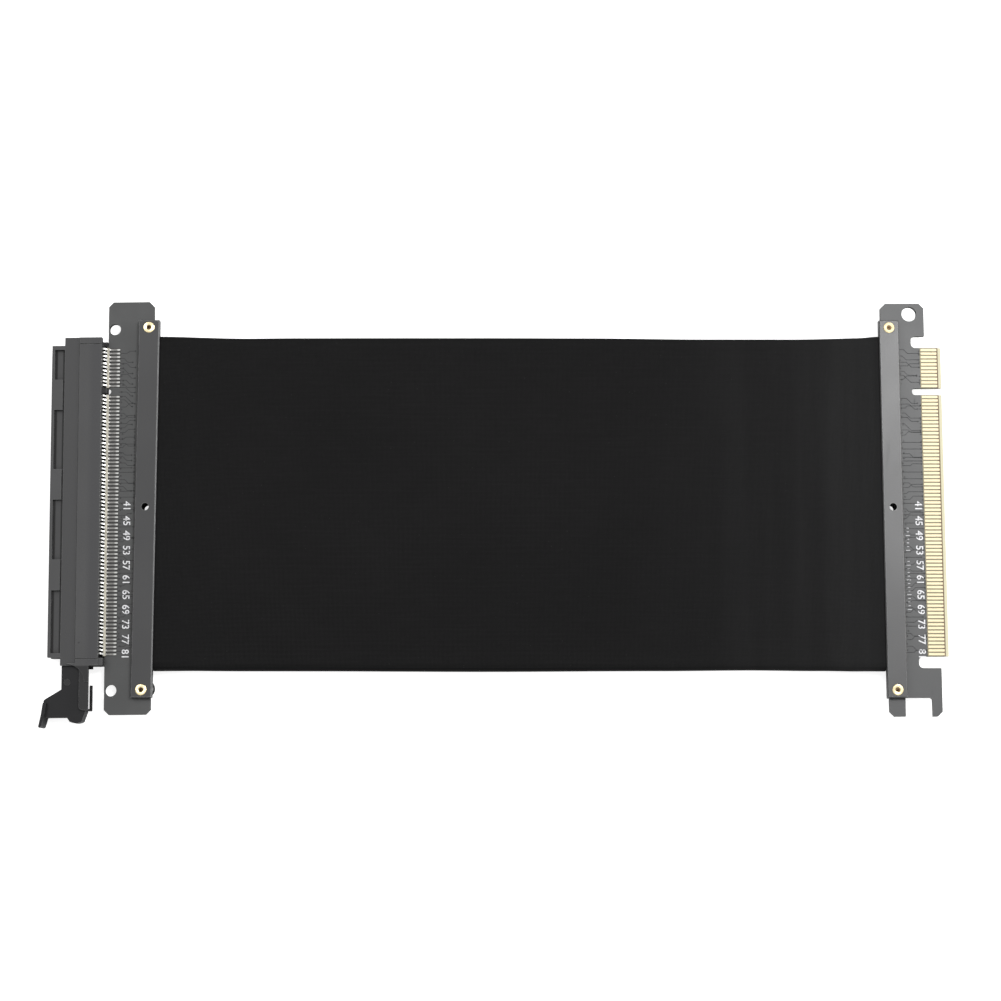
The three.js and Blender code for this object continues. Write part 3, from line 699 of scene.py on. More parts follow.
@dataclass(frozen=True)
class ClothFinish:
    """Black woven polyester.

    Attributes:
        name: the material's name.
        dark: the colour between the yarns.
        light: the colour of the yarns' tops.
        lifted: a painted sheen, paler colour towards the plug end where the lamps' gloss falls.
        pitch: how far apart the yarns are, in metres.
        relief: the weave's height, in metres.
    """

    name: str = "sleeve_weave"
    dark: Colour = (0.0024, 0.0024, 0.0025)
    light: Colour = (0.0062, 0.0062, 0.0064)
    lifted: Colour = (0.0135, 0.0135, 0.0138)
    pitch: float = 0.00034
    relief: float = 0.00006

    def build(self) -> bpy.types.Material:
        """Makes the material."""
        w = Surface(self.name)
        weave = w.effect(plain_weave, Vector=w.place, Pitch=self.pitch)
        grain = w.effect(fine_grain, Vector=w.place, Scale=1500.0, Drift=22.0)
        colour = w.blend(w.ramp(weave["Height"], 0.15, 0.75), self.dark, self.light)
        worn = w.math("MULTIPLY", w.ramp(weave["Slubs"], 0.5, 0.7), 0.14)
        colour = w.blend(worn, colour, scaled(self.light, 1.45))
        lint = w.effect(small_specks, Vector=w.place, Scale=1400.0, Cover=0.01)["Mask"]
        colour = w.blend(w.math("MULTIPLY", lint, 0.1), colour, (0.06, 0.06, 0.06))
        # Painted sheen: paler cloth towards the plug, in uneven bands, in place of the lamps' gloss.
        banded = w.noise(w.vector("MULTIPLY", w.place, (1.0, 0.06, 1.0)), 90.0, 3.0)
        near_plug = w.ramp(w.parts(w.place)[0], 0.03, 0.1)
        sheen_share = w.math("MULTIPLY", near_plug, w.ramp(banded, 0.3, 0.7, 0.35, 1.0))
        colour = w.blend(sheen_share, colour, self.lifted)
        rough = w.between(w.ramp(grain["Tone"], 0.3, 0.7), 0.38, 0.45)
        return w.finished({"Base Color": colour, "Roughness": rough, "Specular IOR Level": 0.06,
                           "Sheen Weight": 0.02, "Sheen Roughness": 0.5}, weave["Height"], self.relief, 0.8)


# Studio


@dataclass
class Studio:
    """Camera, lamps, world and floor.

    Attributes:
        aim: the point that the camera looks at, in millimetres.
        distance: how far away the camera is, in millimetres.
        tilt: how far it leans from straight down, in degrees.
        focal: its focal length, in pixels of the picture.
        picture: the picture's width, in pixels.
        sensor: the camera's sensor width, in millimetres.
        ambient: the world's plain light.
        lamps: each lamp's name, place, target and size in metres, and its power in watts.
    """

    aim: Point = (1.26, 3.20, 4.4)
    distance: float = 600.0
    tilt: float = 8.0
    focal: float = 2221.0
    picture: float = 1001.0
    sensor: float = 36.0
    ambient: float = 0.42
    lamps: tuple = (
        ("softbox", (0.42, 0.34, 1.3), (0.0, 0.0, 0.0), (0.26, 0.4), 8.6),
        ("fill", (-0.85, 0.6, 1.15), (0.0, 0.0, 0.0), (0.8, 0.8), 6.0),
        ("rim", (1.25, 0.25, 0.42), (0.1, 0.0, 0.0), (0.7, 0.35), 9.0),
    )

    def build(self) -> None:
        """Makes them all."""
        self.camera()
        for lamp in self.lamps:
            self.lamp(*lamp)
        self.world()
        self.floor()

    def camera(self) -> None:
        """Makes the camera at the photograph's angle."""
        data = bpy.data.cameras.new("camera")
        data.sensor_width = self.sensor
        data.lens = self.focal * self.sensor / self.picture
        data.clip_start, data.clip_end = 0.01, 20.0
        camera = linked("camera", data)
        tilt = math.radians(self.tilt)
        back = Vector((0.0, -math.sin(tilt), math.cos(tilt)))
        camera.location = (Vector(self.aim) + back * self.distance) * MM
        camera.rotation_euler = (tilt, 0.0, 0.0)
        bpy.context.scene.camera = camera
        log.info("camera %.0f mm away, lens %.1f mm", self.distance, data.lens)

    def lamp(self, name: str, place: Point, target: Point, size: tuple[float, float], power: float) -> None:
        """Makes a soft rectangular lamp.

        Args:
            name: its name.
            place: where it is, in metres.
            target: the point that it faces, in metres.
            size: its width and height, in metres.
            power: its power, in watts.
        """
        data = bpy.data.lights.new(name, "AREA")
        data.shape = "RECTANGLE"
        data.size, data.size_y = size
        data.energy = power
        lamp = linked(name, data)
        lamp.location = place
        lamp.rotation_euler = (Vector(target) - Vector(place)).to_track_quat("-Z", "Y").to_euler()

    def world(self) -> None:
        """Plain light all round, and white where the camera or a gloss sees it."""
        world = bpy.data.worlds.new("studio")
        world.use_nodes = True
        bpy.context.scene.world = world
        w = Wiring(world.node_tree)
        w.tree.nodes.clear()
        path = w.add("ShaderNodeLightPath").outputs
        seen = w.math("MAXIMUM", w.math("MAXIMUM", path["Is Camera Ray"], path["Is Glossy Ray"]),
                      path["Is Transmission Ray"])
        strength = w.between(seen, self.ambient, 1.0)
        back = w.add("ShaderNodeBackground", {"Color": (1.0, 1.0, 1.0, 1.0), "Strength": strength})
        w.add("ShaderNodeOutputWorld", {"Surface": back.outputs[0]})

    def floor(self) -> None:
        """A wide pale floor that keeps the object's shadow."""
        deselect_all()
        bpy.ops.mesh.primitive_plane_add(size=8.0, location=(0.0, 0.0, -0.0001))
        floor = bpy.context.object
        floor.name = "floor"
        material = bpy.data.materials.new("pale_floor")
        material.use_nodes = True
        w = Wiring(material.node_tree)
        w.tree.nodes.clear()
        seen = w.add("ShaderNodeLightPath").outputs["Is Camera Ray"]
        matt = w.add("ShaderNodeBsdfDiffuse", {"Color": (0.8, 0.8, 0.8, 1.0)}).outputs[0]
        glow = w.add("ShaderNodeEmission", {"Strength": w.math("MULTIPLY", seen, 0.8)}).outputs[0]
        both = w.add("ShaderNodeAddShader", {0: matt, 1: glow}).outputs[0]
        w.add("ShaderNodeOutputMaterial", {"Surface": both})
        floor.data.materials.append(material)


# Pieces


@dataclass
class CableCloth:
    """The cloth sleeve: an open, flattened tube that sinks from both bars to the table.

    Attributes:
        start, end: its two ends along X, in millimetres.
        low, high: outline points (x, y) of its lower and its upper edge.
        lying: half its thickness where it lies.
        held: half its thickness at the bars.
        drop: how long it takes to sink.
        close: how long it takes to flatten.
        wall: the cloth's thickness.
        along: faces along it.
        across: faces across each of its two layers.
        edge_steps: faces round each of its two edges.
        bulge: how far its rounded edges reach out.
        settle: how far from the bars the crinkles reach their full height.
        rim: how far from the edges they do.
        folds: place along X, lean, height and width of each fold.
    """

    start: float = -91.5
    end: float = 104.29
    lying: float = 1.45
    held: float = 2.18
    drop: float = 24.0
    close: float = 15.0
    wall: float = 0.3
    along: int = 230
    across: int = 64
    edge_steps: int = 6
    bulge: float = 1.1
    settle: float = 3.0
    rim: float = 5.0
    folds: tuple = ((-84.6, 0.012, 0.16, 0.9), (-81.2, -0.01, -0.1, 0.7), (-77.5, 0.02, 0.07, 1.2),
                    (-70.0, 0.03, 0.05, 2.2), (88.5, -0.02, 0.08, 1.6), (93.0, 0.03, -0.12, 1.1),
                    (96.6, -0.015, 0.13, 0.9), (99.8, 0.02, -0.14, 0.7), (-60.0, -0.04, 0.04, 3.0),
                    (80.5, 0.05, 0.05, 2.0))
    low: tuple = ((-91.6, -42.86), (-79.0, -42.72), (-47.0, -42.74), (-4.0, -42.88), (44.0, -42.68), (68.0, -42.5),
                  (87.0, -42.68), (97.0, -42.86), (104.4, -42.88))
    high: tuple = ((-91.6, 48.42), (-70.0, 48.44), (-54.0, 48.55), (-32.0, 48.58), (1.0, 48.58), (25.0, 48.52),
                   (56.0, 48.22), (99.0, 48.2), (104.4, 48.5))

    @staticmethod
    def ease(t: float) -> float:
        """A smooth step from 0 to 1."""
        t = min(1.0, max(0.0, t))
        return t * t * (3 - 2 * t)

    @staticmethod
    def along_line(points: Sequence[tuple[float, float]], x: float) -> float:
        """Height of a smooth line through the points at x."""
        for (x0, y0), (x1, y1) in zip(points, points[1:]):
            if x <= x1:
                return y0 + (y1 - y0) * CableCloth.ease((x - x0) / (x1 - x0))
        return points[-1][1]

    def middle(self, x: float, ends: tuple[EndFrame, EndFrame]) -> float:
        """Height of the tube's middle at x."""
        slot, plug = ends
        from_slot, from_plug = x - self.start, self.end - x
        if x < 0:
            return slot.middle + (self.lying - slot.middle) * self.ease(from_slot / self.drop)
        return plug.middle + (self.lying - plug.middle) * self.ease(from_plug / self.drop)

    def half(self, x: float) -> float:
        """Half the tube's thickness at x."""
        closed = self.ease((x - self.start) / self.close) * self.ease((self.end - x) / self.close)
        return self.held + (self.lying - self.held) * closed

    def crinkle(self, x: float, y: float) -> float:
        """How far the upper layer stands off its plain form, in millimetres."""
        fold = 0.0
        for at, lean, depth, width in self.folds:
            away = (x - at - lean * y - 0.5 * math.sin(y * 0.11 + at)) / width
            fold += depth * math.exp(-away * away) * (0.6 + 0.4 * math.sin(y * 0.07 + at * 1.7))
        wave = 0.05 * math.sin(x * 0.071 + 0.9 * math.sin(y * 0.05)) * math.cos(y * 0.083 + x * 0.013)
        small = 0.018 * math.sin(x * 0.53 + 2.0 * math.sin(y * 0.21)) * math.sin(y * 0.47 + x * 0.09)
        return fold + wave + small

    def ring(self, x: float, ends: tuple[EndFrame, EndFrame]) -> list[Point]:
        """The tube's section at x, once round from the lower edge of its upper layer.

        Args:
            x: the place along the tube.
            ends: the slot's and the plug's frames.

        Returns:
            Points in millimetres.
        """
        low, high = self.along_line(self.low, x), self.along_line(self.high, x)
        middle, half = self.middle(x, ends), self.half(x)
        room = self.ease((x - self.start) / self.settle) * self.ease((self.end - x) / self.settle)
        span = high - low - 2 * self.bulge
        points: list[Point] = []
        for i in range(self.across + 1):
            y = low + self.bulge + span * i / self.across
            rise = (self.crinkle(x, y) - 0.1) * room * self.ease(min(y - low, high - y) / self.rim)
            points.append((x, y, middle + half - 0.02 + rise))
        points += self.turn((x, high - self.bulge, middle), half, 1)
        points += [(x, high - self.bulge - span * i / self.across, max(0.0, middle - half))
                   for i in range(self.across + 1)]
        return points + self.turn((x, low + self.bulge, middle), half, -1)

    def turn(self, centre: Point, half: float, side: int) -> list[Point]:
        """The section's half turn round one edge.

        Args:
            centre: the middle of the turn.
            half: half the tube's thickness.
            side: 1 at the upper edge, -1 at the lower one.

        Returns:
            Points in millimetres.
        """
        x, y, z = centre
        angles = [math.pi * i / self.edge_steps for i in range(1, self.edge_steps)]
        return [(x, y + side * self.bulge * math.sin(a), z + side * half * math.cos(a)) for a in angles]

    def build(self, ends: tuple[EndFrame, EndFrame]) -> Thing:
        """Args:
            ends: the slot's and the plug's frames.

        Returns:
            The piece.
        """
        mesh = bmesh.new()
        rings = []
        for i in range(self.along + 1):
            x = self.start + (self.end - self.start) * i / self.along
            rings.append([mesh.verts.new(Vector(p) * MM) for p in self.ring(x, ends)])
        for a, b in zip(rings, rings[1:]):
            for i in range(len(a)):
                j = (i + 1) % len(a)
                mesh.faces.new((a[i], b[i], b[j], a[j]))
        bmesh.ops.recalc_face_normals(mesh, faces=mesh.faces)
        data = bpy.data.meshes.new("cable_cloth")
        mesh.to_mesh(data)
        mesh.free()
        cloth = linked("cable_cloth", data)
        top_face = max(data.polygons, key=lambda f: f.center.z)
        if top_face.normal.z < 0:
            data.flip_normals()
        modify(cloth, "SOLIDIFY", thickness=self.wall * MM, offset=-1.0, use_rim=True)
        make_active(cloth)
        bpy.ops.object.shade_smooth_by_angle(angle=math.radians(50))
        dress(cloth, ClothFinish().build(), replaces=["cable_sleeve"])
        return cloth


@dataclass
class ContactTails:
    """The slot's bent contact tails, from the housing's rear face to their feet on the board.

    Attributes:
        rear: the housing's rear face.
        heel: where a foot starts.
        foot: how long it is.
        width: how wide a tail is.
        thick: how thick it is.
        rise: how far above the board a tail leaves the housing.
        stagger: how much higher every other tail leaves it.
    """

    rear: float = -12.05
    heel: float = -10.2
    foot: float = 2.68
    width: float = 0.5
    thick: float = 0.26
    rise: float = 0.55
    stagger: float = 0.28

    def tail(self, name: str, end: EndFrame, raised: float) -> Thing:
        """One tail in row 0.

        Args:
            name: the object's name.
            end: the slot's frame.
            raised: how much higher it leaves the housing.

        Returns:
            The tail, in the end's frame.
        """
        board, y, half = end.top, row_y(0), self.width / 2
        toe = self.heel + self.foot
        tail = block(name, (toe - 0.35, y - half, board - 0.03), (toe, y + half, board - 0.03 + self.thick))
        slope = (self.rise + raised) / (self.heel - 0.1 - self.rear)
        steps = [(self.heel + 0.25 - toe + 0.35, 0.0, 0.0), (-0.22, 0.0, 0.03), (-0.2, 0.02, 0.2 * slope),
                 (-1.15, 0.18, 1.15 * slope), (-0.35, 0.08, 0.06), (-0.35, 0.02, 0.0)]
        with editing(tail, "FACE", lambda f: f.normal.x < -0.9):
            for step in steps:
                extrude(step)
            bpy.ops.transform.resize(value=(1.0, 1.5, 1.0))
            bpy.ops.mesh.select_all(action="SELECT")
            bpy.ops.mesh.normals_make_consistent(inside=False)
        modify(tail, "BEVEL", width=0.045 * MM, segments=1, limit_method="ANGLE", angle_limit=math.radians(50))
        return tail

    def build(self, end: EndFrame, finish: bpy.types.Material) -> None:
        """Makes the tails on both faces of the board.

        Args:
            end: the slot's frame.
            finish: the tails' material.
        """
        parts = []
        for parity, raised in enumerate((0.0, self.stagger)):
            first = self.tail("tail", end, raised)
            for start, stop in ((0, SHORT_ROWS), (SHORT_ROWS, SHORT_ROWS + LONG_ROWS)):
                rows = [r for r in range(start, stop) if r % 2 == parity]
                group = moved_copy(first, (0.0, row_y(rows[0]) - row_y(0), 0.0))
                repeat_down(group, len(rows), 2 * PITCH)
                parts.append(group)
            bpy.data.objects.remove(first)
        upper = joined("upper_tails", parts)
        lower = moved_copy(upper, (0.0, 0.0, 0.0))
        lower.name = lower.data.name = "lower_tails"
        lower.data.transform(Matrix.Translation((0, 0, 2 * end.middle * MM)) @ Matrix.Diagonal((1, 1, -1, 1)))
        lower.data.flip_normals()
        for piece in (upper, lower):
            dress(piece, finish, end)


@dataclass
class SolderRail:
    """The cream rail along the slot board's left edge, which the tails cross.

    Attributes:
        left, right: its sides.
        margin: how far it runs past the first and the last row.
        notch: how far it stays clear of the key's middle.
        thick: how far it stands above the board.
    """

    left: float = -11.12
    right: float = -10.42
    margin: float = 0.5
    notch: float = 0.95
    thick: float = 0.6

    def build(self, end: EndFrame, finish: bpy.types.Material) -> None:
        """Makes the rail's two lengths.

        Args:
            end: the slot's frame.
            finish: its material.
        """
        spans = ((KEY_Y + self.notch, row_y(0) + self.margin), (row_y(LAST_ROW) - self.margin, KEY_Y - self.notch))
        parts = []
        for low, high in spans:
            rail = block("rail", (self.left, low, end.top - 0.2), (self.right, high, end.top + self.thick))
            bevel_edges(rail, lambda e: all(v.co.z > (end.top + 0.1) * MM for v in e.verts), 0.12, 3)
            parts.append(rail)
        dress(joined("solder_rail", parts), finish, end)


@dataclass
class RearComb:
    """The dark comb behind the housing that keeps the tails apart; its near-black is partly its own plastic and
    partly painted shade under the tails.

    Attributes:
        rear: the housing's rear face.
        edge: the board's left edge.
        gap: how far from the housing a tooth starts.
        tooth: how far from the housing it ends.
        width: how wide a tooth is.
    """

    rear: float = -12.0
    edge: float = -10.8
    gap: float = 0.34
    tooth: float = 0.86
    width: float = 0.42

    def build(self, end: EndFrame, finish: bpy.types.Material) -> None:
        """Makes the comb.

        Args:
            end: the slot's frame.
            finish: its material.
        """
        middle = end.middle
        base = block("base", (self.rear - 0.1, row_y(LAST_ROW) - 1.7, middle - 0.62),
                     (self.edge, row_y(0) + 1.0, middle + 0.62))
        bevel_edges(base, lambda e: all(v.co.x > (self.edge - 0.1) * MM for v in e.verts), 0.1)
        y = row_y(0) + 0.5 + 0.27
        tooth = block("tooth", (self.rear + self.gap, y - self.width / 2, middle + 0.5),
                      (self.rear + self.tooth, y + self.width / 2, end.top + 0.75))
        bevel_edges(tooth, lambda e: all(v.co.z > end.top * MM for v in e.verts), 0.1)
        dress(joined("rear_comb", [base, *along_rows(tooth, 1)]), finish, end)


@dataclass
class HousingShell:
    """The slot housing as moulded, with small trims that its solid leaves out.

    Attributes:
        trims: the corners of each trim in the slot's frame: the lug beside the latch, two steps in the lower
            cheek's side, and the undercut of the upper corner.
    """

    trims: tuple[tuple[Point, Point], ...] = (
        ((-28.0, -54.75, -2.0), (-22.05, -42.75, 12.0)),
        ((-15.75, -47.6, -1.0), (-14.0, -43.2, 2.0)),
        ((-15.75, -53.9, -1.0), (-15.2, -47.5, 2.0)),
        ((-13.45, 45.6, -1.0), (-11.5, 48.5, 5.8)),
    )

    def build(self, end: EndFrame, node: Thing, finish: bpy.types.Material) -> None:
        """Makes the shell from the housing's own solid.

        Args:
            end: the slot's frame.
            node: the housing's CAD node.
            finish: its material.
        """
        shell = node.copy()
        shell.data = node.data.copy()
        shell.parent = None
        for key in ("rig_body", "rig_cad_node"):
            del shell[key]
        bpy.context.scene.collection.objects.link(shell)
        shell.name = shell.data.name = "housing_shell"
        with editing(shell, "VERT"):
            bpy.ops.mesh.select_all(action="SELECT")
            bpy.ops.mesh.remove_doubles(threshold=0.001 * MM)
        for low, high in self.trims:
            cutter = block("cutter", low, high)
            cutter.data.transform(end.matrix())
            modify(shell, "BOOLEAN", object=cutter, operation="DIFFERENCE", solver="EXACT")
            bpy.data.objects.remove(cutter)
        dress(shell, finish, replaces=["slot_housing"])


@dataclass
class GoldFingers:
    """The plug's contact fingers, thin plates on both faces of its tongue.

    Attributes:
        start, stop: their two ends.
        width: how wide a finger is.
        thick: how far it stands above the board.
    """

    start: float = 8.82
    stop: float = 13.16
    width: float = 0.66
    thick: float = 0.085

    def build(self, end: EndFrame, finish: bpy.types.Material) -> None:
        """Makes the fingers.

        Args:
            end: the plug's frame.
            finish: their material.
        """
        for side in Side:
            face, half, y = end.face(side), self.width / 2, row_y(0)
            low, high = sorted((face - side.value * 0.03, face + side.value * self.thick))
            finger = block("finger", (self.start, y - half, low), (self.stop, y + half, high))
            bevel_edges(finger, lambda e: abs(e.verts[0].co.z - e.verts[1].co.z) > 0.04 * MM, 0.09)
            with editing(finger, "FACE", lambda f: f.normal.z * side.value > 0.9):
                inset(0.03)
                bpy.ops.transform.translate(value=(0, 0, side.value * 0.01 * MM))
            dress(joined(f"{side.name.lower()}_fingers", along_rows(finger)), finish, end)


@dataclass
class Traces:
    """Copper tracks under the lacquer of a board, and the small holes at their ends.

    Attributes:
        name: the start of the pieces' names.
        left, right: the strip of board that they cross.
        top, bottom: how far they run along the board.
        step: the least and the most room between tracks.
        key: the stretch beside the key that stays bare.
        reach: how far along the board a track may end.
        pads: where small holes stand beside the fingers, if there are any.
        dot_x: where a fine row of holes stands, if there is one.
        dots: places of holes.
        radius: half a track's width.
        seed: picks one layout.
    """

    name: str
    left: float
    right: float
    top: float
    bottom: float
    seed: int
    radius: float = 0.1
    step: tuple[float, float] = (0.9, 2.0)
    key: tuple[float, float] = (99.0, 99.0)
    reach: tuple[float, float] = (-39.6, 43.4)
    pads: float = 0.0
    dot_x: float = 0.0
    dots: list = field(default_factory=list)

    def route(self, rng: random.Random, y: float, steep: float) -> list[tuple[float, float]]:
        """One track with a slanting middle.

        Args:
            rng: the source of variety.
            y: where it leaves the bar.
            steep: how far it shifts on its way.

        Returns:
            Its points.
        """
        bend = self.left + (self.right - self.left) * rng.uniform(0.15, 0.45)
        stop = min(self.right - 0.5, bend + abs(steep))
        end = self.right - rng.choice((0.35, 0.4, 1.1))
        return [(self.left - 0.4, y), (bend, y), (stop, y + steep), (max(end, stop + 0.2), y + steep)]

    def build(self, end: EndFrame, track: bpy.types.Material, hole: bpy.types.Material) -> None:
        """Makes the tracks and their holes.

        Args:
            end: the board's end.
            track: the tracks' material.
            hole: the holes' material.
        """
        rng = random.Random(self.seed)
        curve = bpy.data.curves.new(self.name, "CURVE")
        curve.dimensions = "3D"
        curve.bevel_depth, curve.bevel_resolution, curve.use_fill_caps = self.radius * MM, 0, True
        y = self.top
        while y > self.bottom:
            if not self.key[0] < y < self.key[1]:
                steep = rng.choice((0.0, 0.0, 0.5, -0.7, -1.1, 0.9)) if y < self.top - 22 else rng.choice(
                    (0.9, -1.4, -1.9, 0.6, -1.1))
                points = self.route(rng, y, steep)
                last = points[-1][1]
                if self.key[0] < last < self.key[1] or not self.reach[0] < last < self.reach[1]:
                    y -= 0.4
                    continue
                spline = curve.splines.new("POLY")
                spline.points.add(len(points) - 1)
                for point, (px, py) in zip(spline.points, points):
                    point.co = (px * MM, py * MM, (end.top + 0.012 - self.radius * 0.6) * MM, 1.0)
                self.dots.append(points[-1])
            y -= rng.uniform(*self.step)
        make_active(linked(self.name + "_tracks", curve))
        bpy.ops.object.convert(target="MESH")
        tracks = bpy.context.object
        tracks.name = tracks.data.name = self.name + "_tracks"
        dress(tracks, track, end)
        self.holes(end, rng, hole)

    def holes(self, end: EndFrame, rng: random.Random, finish: bpy.types.Material) -> None:
        """Makes the small plated holes: shallow dips whose near-black is partly lacquer and partly painted shade
        for their bores.

        Args:
            end: the board's end.
            rng: the source of variety.
            finish: their material.
        """
        hole = drum("hole", (0.0, 0.0), 0.2, end.top - 0.05, end.top + 0.035, 10)
        with editing(hole, "FACE", lambda f: f.normal.z > 0.9):
            inset(0.07)
            extrude((0.0, 0.0, -0.07))
        places = list(self.dots)
        y = self.top - 3.0
        while y > self.bottom + 2.0:
            if not self.key[0] < y < self.key[1]:
                places.append((self.left + rng.choice((0.35, 0.4, 0.75)), y))
            y -= rng.uniform(1.0, 2.4)
        if self.pads:
            rows = [row for row in range(SHORT_ROWS + LONG_ROWS) if rng.random() < 0.6]
            places += [(self.pads, row_y(row) - 0.35) for row in rows]
        if self.dot_x:
            places += [(self.dot_x, 0.9 * step) for step in range(-1, 24)]
        copies = [moved_copy(hole, (x, y, 0.0)) for x, y in places]
        bpy.data.objects.remove(hole)
        dress(joined(self.name + "_holes", copies), finish, end)


@dataclass
class PinNumbers:
    """Plain pin numbers and ticks printed on a board beside its contact rows.

    Attributes:
        name: the piece's name.
        x: the middle of the column.
        tick_x: where the ticks stand.
        size: how high a digit is.
        rows: the numbered rows.
        ticks: the rows with a tick.
    """

    name: str
    x: float
    tick_x: float
    size: float = 2.7
    rows: tuple[int, ...] = (41, 45, 49, 53, 57, 61, 65, 69, 73, 77, 81)
    ticks: tuple[int, ...] = ()

    def build(self, end: EndFrame, finish: bpy.types.Material) -> None:
        """Prints them.

        Args:
            end: the board's end.
            finish: the print's material.
        """
        height = (end.top + 0.012) * MM
        parts = []
        for row in self.rows:
            deselect_all()
            bpy.ops.object.text_add(location=(self.x * MM, row_y(row) * MM, height))
            text = bpy.context.object
            text.data.body = str(row)
            text.data.size = self.size * MM
            text.data.align_x = text.data.align_y = "CENTER"
            text.data.extrude = 0.012 * MM
            text.data.offset = 0.03 * MM
            text.data.resolution_u = 3
            text.rotation_euler = (0.0, 0.0, -math.pi / 2)
            bpy.ops.object.convert(target="MESH")
            make_active(bpy.context.object)
            parts.append(settled("number"))
        for row in self.ticks:
            reach = 0.55 if row % 4 == 1 else 0.3
            tick = block("tick", (self.tick_x - reach, row_y(row) - 0.07, end.top - 0.01),
                         (self.tick_x + reach, row_y(row) + 0.07, end.top + 0.022))
            parts.append(tick)
        dress(joined(self.name, parts), finish, end)


@dataclass
class EyeletCores:
    """The rolled cores inside the four eyelets: dark brass whose near-black centre is painted shade for the deep
    bores.

    Attributes:
        radius: a core's radius.
        deep: how far it reaches below the eyelet's top.
    """

    radius: float = 0.54
    deep: float = 2.6

    def build(self, finish: bpy.types.Material) -> None:
        """Makes one core in each eyelet.

        Args:
            finish: their material.
        """
        for node in ("slot_upper_eyelet", "slot_lower_eyelet", "plug_upper_eyelet", "plug_lower_eyelet"):
            low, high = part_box(node)
            middle, top = (low + high) / 2 / MM, high.z / MM - 0.12
            core = drum(node + "_core", (middle.x, middle.y), self.radius, top - self.deep, top, 20)
            with editing(core, "FACE", lambda f: f.normal.z > 0.9):
                inset(0.16)
                extrude((0.0, 0.0, -0.5))
                inset(0.2)
                bpy.ops.transform.translate(value=(0.05 * MM, 0.06 * MM, 0.16 * MM))
            dress(core, finish)


@dataclass
class WasherRing:
    """The loose dark ring behind the slot's lower eyelet, which stands out beside the bar.

    Attributes:
        shift: how far off the eyelet it lies.
        radius: the radius of its middle line.
        thick: how wide its band is.
    """

    shift: tuple[float, float] = (0.47, 0.5)
    radius: float = 2.12
    thick: float = 0.56

    def build(self, finish: bpy.types.Material) -> None:
        """Makes the ring as high as the CAD washer.

        Args:
            finish: its material.
        """
        low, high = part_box("slot_washer")
        place = (low + high) / 2 + Vector((*self.shift, 0.0)) * MM
        deselect_all()
        bpy.ops.mesh.primitive_torus_add(location=place, major_radius=self.radius * MM, major_segments=48,
                                         minor_radius=self.thick / 2 * MM, minor_segments=12)
        bpy.context.object.scale.z = (high.z - low.z) / (self.thick * MM)
        ring = settled("washer_ring")
        make_active(ring)
        bpy.ops.object.shade_smooth()
        dress(ring, finish, replaces=["slot_washer"])


